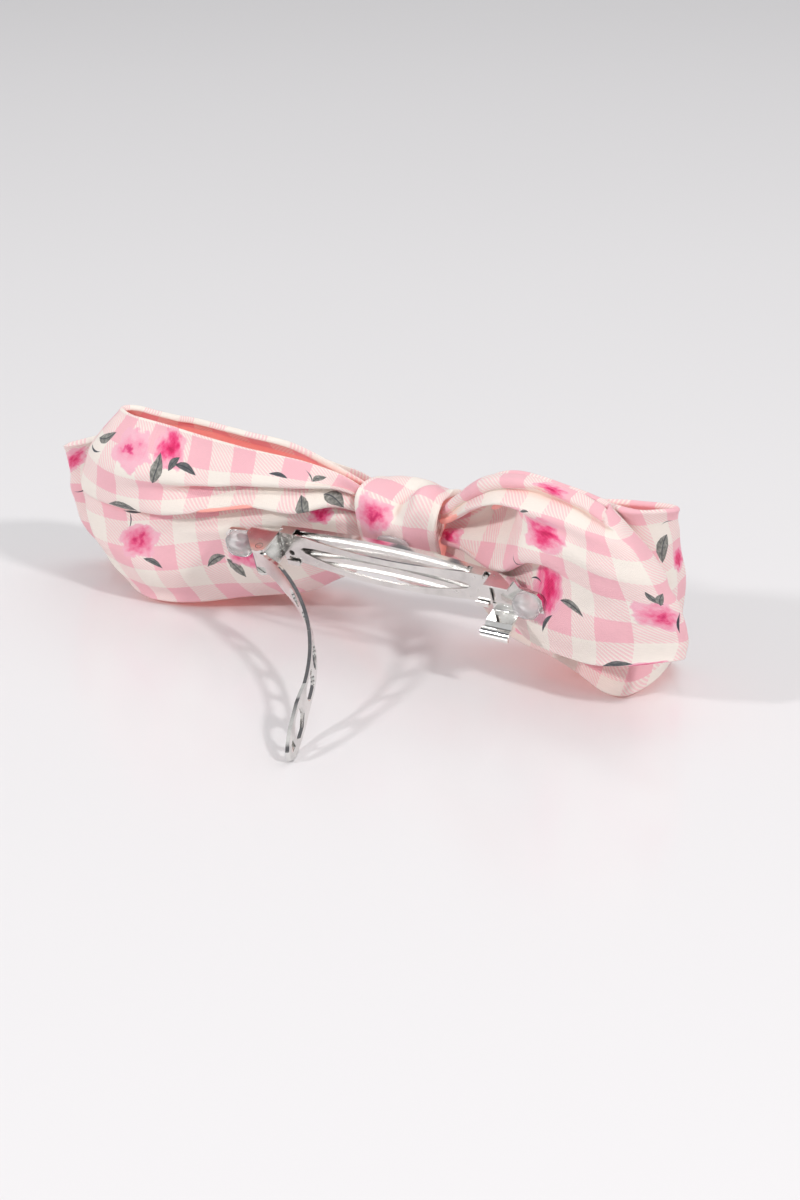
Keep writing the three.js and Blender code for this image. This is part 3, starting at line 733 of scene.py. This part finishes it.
    def motifs(self, wanted):
        """The wanted flowers and leaves, moved from places on the made-up bow to the flat cloth."""
        return [(kind, self.nearest(place), size, shape, turn, extra)
                for kind, place, size, shape, turn, extra in wanted]


def row_at(x, *points):
    """A row of points that all lie at one place along the clip."""
    return [(x, y, z) for y, z in points]


def creased(rows, after, depths):
    """The rows with one more point after the numbered one, pushed back into a crease."""
    made = []
    for row, depth in zip(rows, depths):
        middle = (Vector(row[after]) + Vector(row[after + 1])) / 2
        sunk = middle - Vector((0, depth * CREASE_DROP, depth))
        made.append([*row[:after + 1], tuple(sunk), *row[after + 1:]])
    return made


# ---------- the bow's strips: rows of points in the clip's directions, mm ----------
# Each row runs from the top edge to the bottom edge; the rows go out from the knot,
# round the loop's outer end and back to the knot on its far side.
BACK_LEFT = [
    [(-9, 10.2, -8.4), (-9.5, 9.6, -6.6), (-9.5, 8, -8.8), (-9.5, 6.2, -6.2), (-9, 4, -9.2),
     (-9, 1.5, -6.8), (-9, -1, -6.5), (-9, -4, -7.5), (-9, -7, -9)],
    [(-13, 14.8, -6.5), (-13.5, 14, -3.2), (-14, 12.4, -8.4), (-14.5, 10.2, -2), (-14, 7.6, -7.4),
     (-14, 5.5, -3.4), (-14, 0, -2.8), (-14, -7, -4), (-14, -12, -8)],
    [(-21, 17.6, -5.5), (-21, 15, -0.6), (-21.5, 14, -6.6), (-22, 9.2, 2.2), (-22, 8.4, -5.4),
     (-22, 5, -1.6), (-22, 0, -1.0), (-22, -9, -2.5), (-22, -17, -7)],
    [(-33, 19.5, -4.5), (-32, 14.8, 1.4), (-32, 13.8, -4.6), (-32, 9.6, 3.8), (-32, 8.8, -3.6),
     (-32, 4.8, 0.8), (-32, 0, 1.2), (-32, -11, 0.5), (-30, -21, -5.5)],
    [(-46, 20.7, -4.5), (-45, 13.6, 3.4), (-45.5, 11.2, 0.2), (-46, 6.6, 6), (-46, 5.6, -0.4),
     (-45, 1.2, 3.4), (-45, -3, 4.2), (-45, -13, 4), (-43, -21, 0.5)],
    [(-57, 21.6, -5), (-58, 15.2, 4.2), (-58, 10.8, 4.6), (-58, 5.2, 7.4), (-58, 3.4, 3.6), (-58, 0, 5.4),
     (-58, -6, 7), (-57, -14, 8), (-55, -21, 6.5)],
    [(-65.5, 21.8, -5.5), (-69, 14.6, 2.5), (-70, 10, 4.2), (-71, 4, 5.4), (-71, 1.5, 3.8), (-70, -3, 5.4),
     (-69.5, -8, 7.4), (-67, -14, 9), (-64, -20.5, 8.5)],
    [(-70.2, 21.4, -7.5), (-77.5, 13.8, -3), (-80, 9.5, -1.2), (-82.6, 3.5, 0), (-82.6, 0.5, 0.2),
     (-81.8, -4, 1.5), (-80, -9, 3), (-76, -14, 5), (-70, -18.8, 6.5)],
    [(-67, 21.2, -9), (-74, 13.5, -9.5), (-77, 9, -9.2), (-79.5, 3, -9), (-79.5, 0, -9), (-79, -4, -8.5),
     (-77, -9, -7), (-73, -15, -3), (-67, -19.5, 2)],
    [(-57, 20.6, -8.8), (-62, 13, -12), (-64, 8, -12.6), (-66, 3, -13), (-66, 0, -13), (-66, -4, -12),
     (-64, -9, -11), (-61, -16, -8), (-57, -21, -3)],
    [(-42, 20.6, -8.6), (-42, 12, -12.3), (-42, 8, -12.8), (-42, 3, -13), (-42, 0, -13), (-42, -4, -12.5),
     (-42, -9, -12), (-42, -16, -9), (-41, -22, -5)],
    [(-24, 18.2, -8.8), (-23, 10.5, -11.8), (-22, 7, -12), (-22, 3, -12), (-22, 0, -12), (-22, -4, -12),
     (-22, -8, -11.5), (-22, -12, -10.5), (-22, -17, -9)],
    row_at(-9, (9, -10.5), (7, -11.8), (5.6, -12.2), (4.2, -12.4), (2.5, -12.4), (0, -12.4), (-3, -12.4),
           (-5, -12.2), (-7.5, -11.5)),
]
BACK_RIGHT = [
    row_at(9.5, (7.5, -10.5), (8, -9), (6.6, -7), (5.2, -10.5), (3.5, -9), (2, -6.5), (0.2, -8.5),
           (-1.8, -6.8), (-5, -7.5), (-8, -10)),
    [(12.2, 10.6, -10.5), (12.5, 11.4, -7.8), (14, 10.4, -5.2), (15.5, 8.2, -11), (15, 5, -9),
     (15, 3.3, -4.2), (15, 0.5, -7), (15, -2, -4), (14, -7, -5), (13, -11, -9)],
    [(17, 15.2, -10.5), (17.5, 16.2, -7.2), (20, 15.4, -4), (21.5, 14, -12), (22, 8, -11), (21, 3.2, -1.6),
     (21, 0.6, -5), (21, -2.5, -1.6), (20, -8, -2), (19, -13, -5)],
    [(24, 19.8, -10.6), (25, 21.2, -7), (27.5, 19.6, -2.4), (27.5, 18.6, -11), (28, 11.5, -9.5), (28, 5, 1),
     (28, 2.6, -3), (28, -1, 0.4), (28, -7, 1), (28, -12.5, -1)],
    [(33, 21.4, -10.4), (34, 22.8, -7), (35.5, 20.9, -1.4), (35.5, 18.4, -2.6), (35.5, 14.6, -1),
     (36, 10.8, 2.6), (36.5, 6.8, -1.6), (37, 1, 2), (36, -6, 3.5), (35, -12.5, 3)],
    [(44, 20.2, -9.8), (44, 21.2, -6.5), (45, 20, -1.2), (46, 18, 0.4), (46, 16.6, 3), (46.5, 12, 4.4),
     (47, 7, 4), (47, 1, 5), (47, -5, 6.5), (46, -11.5, 6.5)],
    [(50, 19.6, -8), (51, 20.8, -4), (53, 19.8, 0.7), (54, 18.8, 2.6), (55, 15.4, 5), (55.5, 11, 5.8),
     (56, 6, 6), (56, 1, 6.5), (56, -4, 7.5), (55.5, -10, 7.5)],
    [(52.6, 19.8, -6), (54.8, 20.4, -2.5), (58.5, 18.8, 0), (61.6, 16.4, 0.6), (64.6, 12.8, 1.7),
     (67, 8.6, 2.5), (69.2, 5, 3), (70.6, 1, 3.5), (71.2, -3, 4), (69.6, -6.8, 5)],
    [(50.5, 19.8, -9), (53.4, 18.6, -7.5), (56.6, 15.8, -6.5), (59.4, 12.8, -6.2), (62, 9.4, -5.5),
     (64, 5.6, -4.5), (66, 2.2, -3.8), (67.4, -1, -2.8), (68, -5, -1.5), (67, -8.8, 1)],
    [(42, 20, -11.6), (43, 17.4, -11.8), (45, 14.6, -11.4), (47, 12, -11), (48, 8, -10.5), (49, 4, -9.5),
     (49, 1, -8.5), (49, -2, -7.5), (49, -6, -5.5), (48, -10.5, -1.5)],
    [(25, 20, -12), (26, 17, -12.4), (26, 14, -12.4), (26, 11, -12.2), (26, 7, -12), (26, 4, -11.5),
     (26, 1, -11), (26, -2, -10), (26, -6, -9), (25, -11, -7)],
    row_at(9.5, (7.5, -12), (6, -12.4), (4.6, -12.4), (3.2, -12.4), (1.8, -12.4), (0, -12.4), (-2, -12.4),
           (-4, -12.4), (-6, -12.2), (-8.2, -11.8)),
]
# A deep crease runs out from the knot under the right loop's top roll: one depth for each row.
TOP_CREASE = (0.4, 1.6, 3.0, 3.6, 3.4, 2.8, 1.6, 0.5, 0.0, 0.0, 0.0, 0.0)
BACK_RIGHT = creased(BACK_RIGHT, 1, TOP_CREASE)
FRONT_RIGHT = [
    row_at(9.5, (5, -13.5), (3, -13.4), (0.5, -13.2), (-3, -13), (-6, -12.5), (-9, -12)),
    [(24, 13.5, -14.2), (24, 8, -13.9), (24, 1, -13.4), (24, -7, -11), (23, -14, -7.5), (21, -19, -5)],
    [(40, 16.5, -13.8), (40, 11, -13.6), (40, 2, -12), (40, -8, -8), (39, -16, -3.5), (37, -21.5, -2)],
    [(51, 18.5, -10.5), (52, 13, -9.5), (53, 4, -8.5), (53, -8, -4.5), (52, -16.6, -0.5), (51, -23.2, 3.4)],
    [(56, 19.6, -8.8), (57.5, 12, -9), (58.2, 3, -9), (58, -8, -7), (57, -17.4, -3), (54.6, -24, 1.6)],
    [(59.2, 17.4, -12), (60.4, 11, -12.6), (61, 2, -12.6), (60.5, -8, -11.5), (59, -17.6, -9),
     (57.6, -24.2, -5)],
    [(62.2, 14.6, -17), (61.8, 9, -17.2), (61.2, 1, -17.2), (60.2, -9, -17), (58.8, -18.4, -16),
     (57.6, -26, -13.5)],
    [(59.8, 13.2, -19.4), (60, 7, -20.5), (59.6, 0, -21), (58.6, -10, -21), (57.4, -20, -20.5),
     (56, -30.2, -18.6)],
    [(45, 9.8, -21), (46, 5, -23), (46, 0, -23.8), (45, -10, -24), (44, -20, -23), (43, -30, -21)],
    [(24, 6, -20.6), (25, 3.6, -22.4), (25, 0, -23.4), (25, -8, -23.5), (24, -16, -22.5), (23, -24, -20)],
    row_at(9.5, (4.5, -16.5), (3, -17), (0.5, -17), (-3, -17), (-6, -16.8), (-9, -16.2)),
]
FRONT_LEFT = [
    row_at(-9, (5, -13.5), (3, -13.4), (0, -13.2), (-4, -13), (-7, -12.8), (-9, -12.5)),
    [(-24, 9, -14), (-24, 6, -14.5), (-24, 0, -14.5), (-24, -7, -14), (-24, -14, -13), (-23, -20, -11.5)],
    [(-45, 11, -13.5), (-45, 7, -15), (-45, 0, -15.5), (-45, -9, -15), (-45, -18, -13), (-43, -25, -10)],
    [(-70, 12, -12), (-71, 8, -13.5), (-72, 0, -14), (-72, -9, -12.5), (-70, -18, -9), (-67, -25, -6)],
    [(-86, 8.2, -8.5), (-89.2, 3.6, -8.5), (-91, -2, -8.5), (-91.4, -9, -8), (-90, -16, -6.5),
     (-83, -23, -5)],
    [(-92.4, 5.8, -8.4), (-93.4, 1.2, -8.6), (-94.2, -4, -9), (-94.8, -10, -9), (-94, -16.8, -8),
     (-88, -24, -7.5)],
    [(-91.4, 4, -11), (-92.6, -0.5, -12), (-93.4, -5.5, -12.5), (-93.8, -11, -12.5), (-92.6, -18, -11.5),
     (-86, -26, -10.5)],
    [(-75, 7, -17), (-77, 3, -19), (-77, -3, -20), (-77, -11, -20), (-75, -20, -19.5), (-72, -29, -17.5)],
    [(-45, 6, -20.5), (-45, 4, -22), (-45, -1, -22.8), (-45, -9, -23), (-45, -19, -22), (-43, -28, -20.5)],
    [(-24, 5, -20), (-24, 3, -21.5), (-24, -1, -22), (-24, -8, -22.2), (-24, -16, -21.6), (-23, -23, -20)],
    row_at(-9, (4, -16.5), (2.5, -17), (0, -17), (-4, -17), (-7, -16.8), (-9, -16.2)),
]
# The knot's band: rows go round it from the bottom of its back, over the top and down its front.
KNOT = [
    [(-9, -11.5, -7), (-5, -11.8, -6.5), (0, -12, -6), (5, -12, -6.5), (9.5, -11.5, -7)],
    [(-9.2, -8, -4.2), (-5, -8, -3.7), (0, -8, -3.6), (5, -8, -3.6), (9.8, -8, -4.4)],
    [(-9.4, 0, -4), (-5, 0, -3.2), (0, 0, -3.0), (5, 0, -3.3), (10, 0, -4.4)],
    [(-9.6, 6, -4.2), (-5, 6, -3.0), (0, 6.2, -3.0), (5, 6, -3.6), (10.2, 6, -4.2)],
    [(-9.8, 10.6, -5.4), (-4.6, 10.2, -4.6), (0.6, 7.8, -6), (6.6, 12.2, -4.4), (10.8, 9.8, -5.2)],
    [(-9.6, 11.8, -8), (-4.6, 11.2, -7.8), (0.6, 8.8, -8.6), (6.6, 14.2, -7.4), (10.6, 11.4, -7.8)],
    [(-9.4, 10.6, -11.5), (-4.6, 10.2, -12), (0.6, 8.4, -12), (6.6, 12, -11.6), (10.2, 10.4, -11)],
    [(-9.2, 7, -16.5), (-5, 7.6, -17.5), (0, 7.4, -17.6), (5, 6.4, -17), (9.8, 8, -16)],
    [(-9, 1.5, -20.8), (-5, 1.5, -21.8), (0, 1.5, -22), (5, 1.5, -21.6), (9.6, 1.5, -20.6)],
    [(-9, -6, -21.2), (-5, -6, -22.2), (0, -6, -22.6), (5, -6, -22.2), (9.5, -6, -21)],
    [(-9, -11, -19), (-5, -11.6, -19.6), (0, -11.8, -19.6), (5, -11.6, -19.6), (9.5, -11, -19)],
    [(-9, -13, -13.5), (-5, -13.4, -13.5), (0, -13.6, -13.5), (5, -13.4, -13.5), (9.5, -13, -13.5)],
    [(-9, -12.4, -8.4), (-5, -12.8, -8), (0, -13, -7.6), (5, -13, -8), (9.5, -12.4, -8.4)],
]

# Print on each strip: kind, place on the made-up bow, size, shape, turn, depth of colour.
PRINT_BACK_LEFT = [
    ("Blossom", (-64, 16, 1), 5.8, 1.5, 10, 0.0),
    ("Blossom", (-54, 19.5, -1), 4.4, 1.0, 40, 1.0),
    ("Leaf", (-55, 14, 3), 3.6, 0.42, 95, 0.0),
    ("Leaf", (-48.5, 17, 2), 2.9, 0.3, 10, 0.7),
    ("Leaf", (-52.5, 17, 2), 1.9, 0.45, -60, 0.6),
    ("Leaf", (-72.5, 17.6, -1), 3.0, 0.4, 150, 0.1),
    ("Leaf", (-74.5, 13.6, -0.5), 3.0, 0.1, 175, 1.0),
    ("Leaf", (-66, 4.6, 5), 4.2, 0.36, -5, 0.2),
    ("Leaf", (-65.5, 1.2, 4), 3.4, 0.2, 170, 0.7),
    ("Leaf", (-66, -1, 5), 2.4, 0.09, 100, 1.0),
    ("Blossom", (-65, -5, 6.5), 5.2, 1.3, -15, 0.55),
    ("Leaf", (-60, -8.6, 7), 2.6, 0.3, 30, 0.5),
    ("Leaf", (-45, -8, 4), 2.8, 0.36, -20, 0.0),
    ("Leaf", (-40.5, -9.5, 4), 2.9, 0.45, 60, 0.0),
    ("Blossom", (-38, -4, 3), 4.6, 1.2, 0, 0.9),
    ("Leaf", (-25.5, 16.9, -1.5), 2.2, 0.3, 10, 0.8),
    ("Leaf", (-17, 16.2, -3.2), 2.0, 0.5, -50, 0.1),
    ("Leaf", (-19, 17, -3.2), 2.4, 0.08, 60, 0.9),
    ("Leaf", (-20.5, 10.8, 1.2), 2.9, 0.5, 70, 0.1),
    ("Leaf", (-14, 11.4, -3), 3.0, 0.5, 30, 0.1),
    ("Blossom", (-18, 6, -3), 3.0, 1.5, 0, 1.0),
]
PRINT_BACK_RIGHT = [
    ("Blossom", (41, 18, 2), 6.0, 1.25, -30, 0.95),
    ("Blossom", (40.5, 5, 4), 6.4, 1.6, 75, 1.0),
    ("Leaf", (47.5, 3, 5), 3.4, 0.26, -10, 0.15),
    ("Leaf", (35, 8, 2), 3.2, 0.08, 105, 0.9),
    ("Leaf", (36, 5.4, 3), 1.8, 0.1, 0, 0.9),
    ("Leaf", (40, -3, 5), 2.4, 0.2, 60, 0.7),
    ("Leaf", (35.5, 19.6, 0), 1.4, 0.3, 20, 0.3),
    ("Blossom", (68.6, 4.5, 5), 3.8, 0.9, 30, 0.5),
    ("Leaf", (66.5, 8.4, 5), 2.2, 0.36, 120, 0.4),
    ("Leaf", (68.3, 8.6, 4.5), 2.0, 0.42, 60, 0.2),
    ("Leaf", (71.4, 2.5, 4.5), 3.4, 0.13, 70, 1.0),
    ("Blossom", (64, -8.5, 7), 3.6, 3.2, 4, 0.9),
    ("Leaf", (57.5, -9, 6.5), 2.6, 0.3, 10, 0.6),
    ("Blossom", (40, 25, -7), 4.0, 2.0, 0, 1.0),
    ("Blossom", (11.5, 4, -6.5), 3.4, 1.3, 0, 1.0),
]
PRINT_FRONT_RIGHT = [
    ("Leaf", (62, 7.5, -12), 3.7, 0.52, 60, 0.1),
    ("Leaf", (63.5, 12.5, -14), 2.4, 0.06, 5, 0.9),
    ("Blossom", (64.6, 0, -17.5), 3.4, 1.0, 90, 1.0),
    ("Blossom", (62, -20.5, -16), 3.8, 1.0, 60, 0.8),
    ("Leaf", (60.6, -26, -16.5), 3.4, 0.2, 60, 0.7),
    ("Blossom", (28, -17, -4), 5.2, 2.6, -8, 1.0),
    ("Leaf", (34, -19.2, -3), 3.0, 0.3, 0, 0.2),
    ("Blossom", (45, 5, -24), 6.4, 1.2, 20, 0.9),
    ("Leaf", (38, 0, -24), 3.6, 0.4, 60, 0.1),
    ("Blossom", (52, -16, -23), 5.6, 1.2, 70, 0.7),
    ("Leaf", (28, 8, -23), 3.4, 0.4, 130, 0.2),
]
PRINT_FRONT_LEFT = [
    ("Blossom", (-91, 1, -8.5), 4.6, 1.2, -40, 0.9),
    ("Leaf", (-92, -7.5, -9), 2.8, 0.08, 160, 0.9),
    ("Blossom", (-62, 0, -22), 6.4, 1.2, 30, 0.9),
    ("Leaf", (-55, -8, -23), 3.8, 0.4, 30, 0.1),
    ("Blossom", (-36, -8, -23), 5.6, 1.3, -20, 0.6),
    ("Leaf", (-70, 6, -21), 3.4, 0.4, 120, 0.2),
    ("Leaf", (-30, 4, -23), 3.0, 0.36, 80, 0.3),
]
PRINT_KNOT = [
    ("Blossom", (-4.5, 8.2, -3.8), 4.4, 1.0, 0, 0.55),
    ("Leaf", (3, 4, -24), 3.2, 0.4, 40, 0.2),
    ("Blossom", (-2, -3, -24), 4.6, 1.1, 0, 0.9),
]


# ---------- operators ----------
class HAIRCLIP_OT_metal(bpy.types.Operator):
    """Make the clip's bar, tension spring and catch lever"""

    bl_idname = "hairclip.metal"
    bl_label = "Bar, spring and catch"

    def execute(self, context):
        nickel = tuple(context.scene.hairclip_metal.nickel)
        plate = nickel_material("nickel plate", nickel, 0.10, 0.10)
        strip = nickel_material("spring steel", darker(nickel, 0.98), 0.14, 0.10)
        polished = nickel_material("polished nickel", nickel, 0.03, 0.05)
        bar = pressed_metal("bar", ["base_bar"], plate)
        spring = pressed_metal("spring_strip", ["tension_spring"], strip)
        lever = press_lever("press_lever", polished)
        for piece, node, body, finish in (
            (bar, "base_bar", "clip_body", "nickel_plate"),
            (spring, "tension_spring", "clip_body", "spring_steel"),
            (lever, "catch_lever", "lever", "nickel_plate"),
        ):
            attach(piece, body)
            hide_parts(node)
        return {"FINISHED"}


ARM_OPEN = math.radians(54.3)  # the arm's straight line from pivot to tip, off the bar


class HAIRCLIP_OT_arm(bpy.types.Operator):
    """Make the clasp arm as one piece, its two parts joined at the flex seam"""

    bl_idname = "hairclip.arm"
    bl_label = "Clasp arm"

    def execute(self, context):
        nickel = tuple(context.scene.hairclip_metal.nickel)
        material = nickel_material("nickel arm", darker(nickel, 0.94), 0.05, 0.08)
        hinge = Vector(joint_at["arm_hinge"]["pos_m"])
        flex = Vector(joint_at["arm_flex"]["pos_m"])
        tip_low, tip_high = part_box("clasp_arm_front")
        tip = Vector((tip_high.x, tip_low.y, tip_low.z))
        direction = (CLIP_AXES @ Vector((math.cos(ARM_OPEN), 0, math.sin(ARM_OPEN)))).normalized()
        if (tip - hinge).dot(direction) <= 0:
            raise RuntimeError("the arm doesn't lie the way its hinge says")
        arm = pressed_metal("clasp_arm", ["clasp_arm_root", "clasp_arm_front"], material,
                            seam=(flex, direction), rounding=2.0)
        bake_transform(arm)
        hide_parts("clasp_arm_root", "clasp_arm_front")
        return {"FINISHED"}


DIMPLE_DEPTH, DIMPLE_RATE = 0.05, 0.35


def rounded_dab(name, centre, size, roundness, seed):
    """A dab of set glue: a softened block, dimpled by hand."""
    bm = bmesh.new()
    bmesh.ops.create_cube(bm, size=1.0)
    bmesh.ops.subdivide_edges(bm, edges=bm.edges, cuts=4, use_grid_fill=True)
    for vert in bm.verts:
        square, ball = vert.co * 2, (vert.co * 2).normalized()
        vert.co = square.lerp(ball, roundness) * 0.5
    bmesh.ops.smooth_vert(bm, verts=bm.verts, factor=0.5, use_axis_x=True, use_axis_y=True,
                          use_axis_z=True)
    bmesh.ops.scale(bm, vec=Vector(size), verts=bm.verts)
    for vert in bm.verts:
        vert.co *= 1 + DIMPLE_DEPTH * noise.noise(vert.co * DIMPLE_RATE + Vector((seed, 0, 0)))
    bmesh.ops.transform(bm, matrix=Matrix.Diagonal((MM, MM, MM, 1)), verts=bm.verts)
    bmesh.ops.transform(bm, matrix=CLIP_AXES.to_4x4(), verts=bm.verts)
    bmesh.ops.translate(bm, vec=centre, verts=bm.verts)
    piece = smooth_shaded(from_bmesh(bm, name))
    add_subdivision(piece, 1)
    return piece


class HAIRCLIP_OT_glue(bpy.types.Operator):
    """Make the dabs of hot glue that hold the clip to the bow"""

    bl_idname = "hairclip.glue"
    bl_label = "Hot glue"

    def execute(self, context):
        material = glue_material()
        for name, node, size, roundness, seed in (
            ("glue_dab_left", "glue_left", (6.6, 6.0, 5.2), 0.55, 1.0),
            ("glue_dab_right", "glue_right", (6.6, 6.4, 5.2), 0.8, 4.0),
            ("glue_smear", "glue_centre", (9.0, 9.7, 1.7), 0.5, 9.0),
        ):
            low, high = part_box(node)
            piece = rounded_dab(name, (low + high) / 2, size, roundness, seed)
            piece.data.materials.append(material)
            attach(piece, "clip_body")
            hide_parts(node)
        return {"FINISHED"}


class HAIRCLIP_OT_bow(bpy.types.Operator):
    """Make the four loops of the doubled bow from printed cloth"""

    bl_idname = "hairclip.bow"
    bl_label = "Bow loops"

    def execute(self, context):
        for side, rows, pattern, shift, seed, grid in (
            ("back_left", BACK_LEFT, PRINT_BACK_LEFT, (1.0, 2.0), 0.4, (96, 44)),
            ("back_right", BACK_RIGHT, PRINT_BACK_RIGHT, (3.0, 4.0), 1.7, (96, 54)),
            ("front_left", FRONT_LEFT, PRINT_FRONT_LEFT, (5.0, 0.0), 2.9, (80, 34)),
            ("front_right", FRONT_RIGHT, PRINT_FRONT_RIGHT, (2.0, 5.0), 4.2, (80, 34)),
        ):
            name = "bow_" + side
            layer, hand = side.split("_")
            flip = hand == "right"  # the right loops are laid out the other way round
            cloth = Cloth(name, rows, *grid, seed=seed)
            motifs = cloth.motifs(pattern)
            piece = cloth.build(
                print_material(name + " print", motifs, shift=shift, mirrored=flip),
                print_material(name + " wrong side", [], lined_width=cloth.width, shift=shift,
                               mirrored=flip),
                flip=flip,
            )
            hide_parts(layer + "_bow")
        return {"FINISHED"}


class HAIRCLIP_OT_knot(bpy.types.Operator):
    """Make the cloth band round the bow's middle and the thread inside it"""

    bl_idname = "hairclip.knot"
    bl_label = "Knot and thread"

    def execute(self, context):
        cloth = Cloth("knot_band_cloth", KNOT, 72, 24, gathers=0.45, seed=5.3)
        motifs = cloth.motifs(PRINT_KNOT)
        piece = cloth.build(
            print_material("knot print", motifs, shift=(1.0, 1.5)),
            print_material("knot wrong side", [], lined_width=cloth.width),
            flip=True,
        )
        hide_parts("knot_band")
        thread = frame["nodes"]["tie_thread"]
        thread.data.materials.clear()
        thread.data.materials.append(thread_material())
        return {"FINISHED"}


def area_lamp(name, place, target, size, power, colour):
    data = bpy.data.lights.new(name, "AREA")
    data.shape = "DISK"
    data.size = size
    data.energy = power
    data.color = colour
    lamp = bpy.data.objects.new(name, data)
    bpy.context.scene.collection.objects.link(lamp)
    lamp.location = place
    lamp.rotation_euler = (Vector(target) - Vector(place)).to_track_quat("-Z", "Y").to_euler()


# From the clip's own origin, in the model's directions, mm.
CAMERA_PLACE = (294.6, -496.28, 224.83)
CAMERA_TARGET = (-6.67, 15.0, -16.54)
TABLE_HALF = 6.0  # m
# Name, place from the clip's middle and disc width in metres, share of the lamp power, colour.
LAMPS = (
    ("lamp_right", (1.20, -0.42, 1.06), 0.16, 1.0, (1.0, 0.985, 0.97)),
    ("lamp_left", (-0.72, -1.32, 0.84), 0.16, 1.0, (1.0, 0.99, 0.985)),
    ("lamp_above", (0.0, 1.1, 2.0), 1.8, 0.8, (1.0, 1.0, 1.0)),
)


class HAIRCLIP_OT_stage(bpy.types.Operator):
    """Lay the glossy table and set the lamps and the camera"""

    bl_idname = "hairclip.stage"
    bl_label = "Stage"

    def execute(self, context):
        look = context.scene.hairclip_stage
        bm = bmesh.new()
        bmesh.ops.create_grid(bm, x_segments=8, y_segments=8, size=TABLE_HALF)
        table = from_bmesh(bm, "table")
        material, n, shader = new_material("table top", IOR=1.45)
        place = n.place()
        haze = n.noise(place, 3.0, 2.0)
        tint = darker(look.table, 0.985)
        n.feed(shader.inputs["Base Color"], n.mix(haze, rgba(look.table), rgba(tint)))
        n.feed(shader.inputs["Roughness"], n.math("MULTIPLY_ADD", haze, 0.08, 0.16))
        table.data.materials.append(material)

        world = bpy.data.worlds.new("room")
        world.use_nodes = True
        w = Nodes(world.node_tree)
        background = world.node_tree.nodes["Background"]
        height = w.axes(w.add("ShaderNodeTexCoord").outputs["Generated"])["Z"]
        share = w.math("MULTIPLY_ADD", height, 0.5, 0.5)
        soft = w.ramp(share, [
            (0.40, (0.80, 0.79, 0.80)), (0.52, (0.56, 0.565, 0.58)), (0.60, (0.68, 0.69, 0.71)),
            (0.78, (1.0, 1.0, 1.0)), (1.0, (1.0, 1.0, 1.0))])
        # dark flags round the set, seen only in the shiny metal
        flags = w.ramp(share, [
            (0.30, (1.0, 0.98, 0.99)), (0.44, (0.62, 0.61, 0.62)), (0.49, (0.05, 0.05, 0.055)),
            (0.56, (0.10, 0.10, 0.11)), (0.60, (0.95, 0.95, 0.97)), (0.80, (1.35, 1.35, 1.35)),
            (0.86, (0.22, 0.22, 0.24)), (0.92, (0.30, 0.30, 0.32)), (0.97, (1.5, 1.5, 1.5))])
        glossy = w.add("ShaderNodeLightPath").outputs["Is Glossy Ray"]
        w.feed(background.inputs["Color"], w.mix(glossy, soft, flags))
        background.inputs["Strength"].default_value = look.room
        context.scene.world = world
        context.scene.view_settings.view_transform = "Standard"

        focus = at_clip(-7, 0, 0)
        for name, place, size, share, colour in LAMPS:
            area_lamp(name, focus + Vector(place), focus, size, look.lamp * share, colour)

        data = bpy.data.cameras.new("camera")
        data.lens, data.sensor_width = 85.0, 36.0
        data.clip_start, data.clip_end = 0.01, 50.0
        camera = bpy.data.objects.new("camera", data)
        context.scene.collection.objects.link(camera)
        camera.location = CLIP_ORIGIN + Vector(CAMERA_PLACE) * MM
        target = CLIP_ORIGIN + Vector(CAMERA_TARGET) * MM
        camera.rotation_euler = (target - camera.location).to_track_quat("-Z", "Y").to_euler()
        context.scene.camera = camera
        return {"FINISHED"}


OPERATORS = (
    HAIRCLIP_OT_metal, HAIRCLIP_OT_arm, HAIRCLIP_OT_glue,
    HAIRCLIP_OT_knot, HAIRCLIP_OT_bow, HAIRCLIP_OT_stage,
)


class HAIRCLIP_PT_panel(bpy.types.Panel):
    """The hair clip's pieces and sizes"""

    bl_label = "Hair clip"
    bl_idname = "HAIRCLIP_PT_panel"
    bl_space_type = "VIEW_3D"
    bl_region_type = "UI"
    bl_category = "Hair clip"

    def draw(self, context):
        layout = self.layout
        for settings in (context.scene.hairclip_cloth, context.scene.hairclip_metal,
                         context.scene.hairclip_stage):
            box = layout.box()
            for name in settings.__annotations__:
                box.prop(settings, name)
        for operator in OPERATORS:
            layout.operator(operator.bl_idname)


CLASSES = (ClothSettings, MetalSettings, StageSettings, *OPERATORS, HAIRCLIP_PT_panel)


def register():
    for cls in CLASSES:
        bpy.utils.register_class(cls)
    bpy.types.Scene.hairclip_cloth = PointerProperty(type=ClothSettings)
    bpy.types.Scene.hairclip_metal = PointerProperty(type=MetalSettings)
    bpy.types.Scene.hairclip_stage = PointerProperty(type=StageSettings)


def unregister():
    del bpy.types.Scene.hairclip_cloth
    del bpy.types.Scene.hairclip_metal
    del bpy.types.Scene.hairclip_stage
    for cls in reversed(CLASSES):
        bpy.utils.unregister_class(cls)


def main():
    register()
    make_groups()
    bpy.ops.hairclip.metal()
    bpy.ops.hairclip.arm()
    bpy.ops.hairclip.glue()
    bpy.ops.hairclip.knot()
    bpy.ops.hairclip.bow()
    bpy.ops.hairclip.stage()
    bpy.context.view_layer.update()


if __name__ == "__main__":
    main()
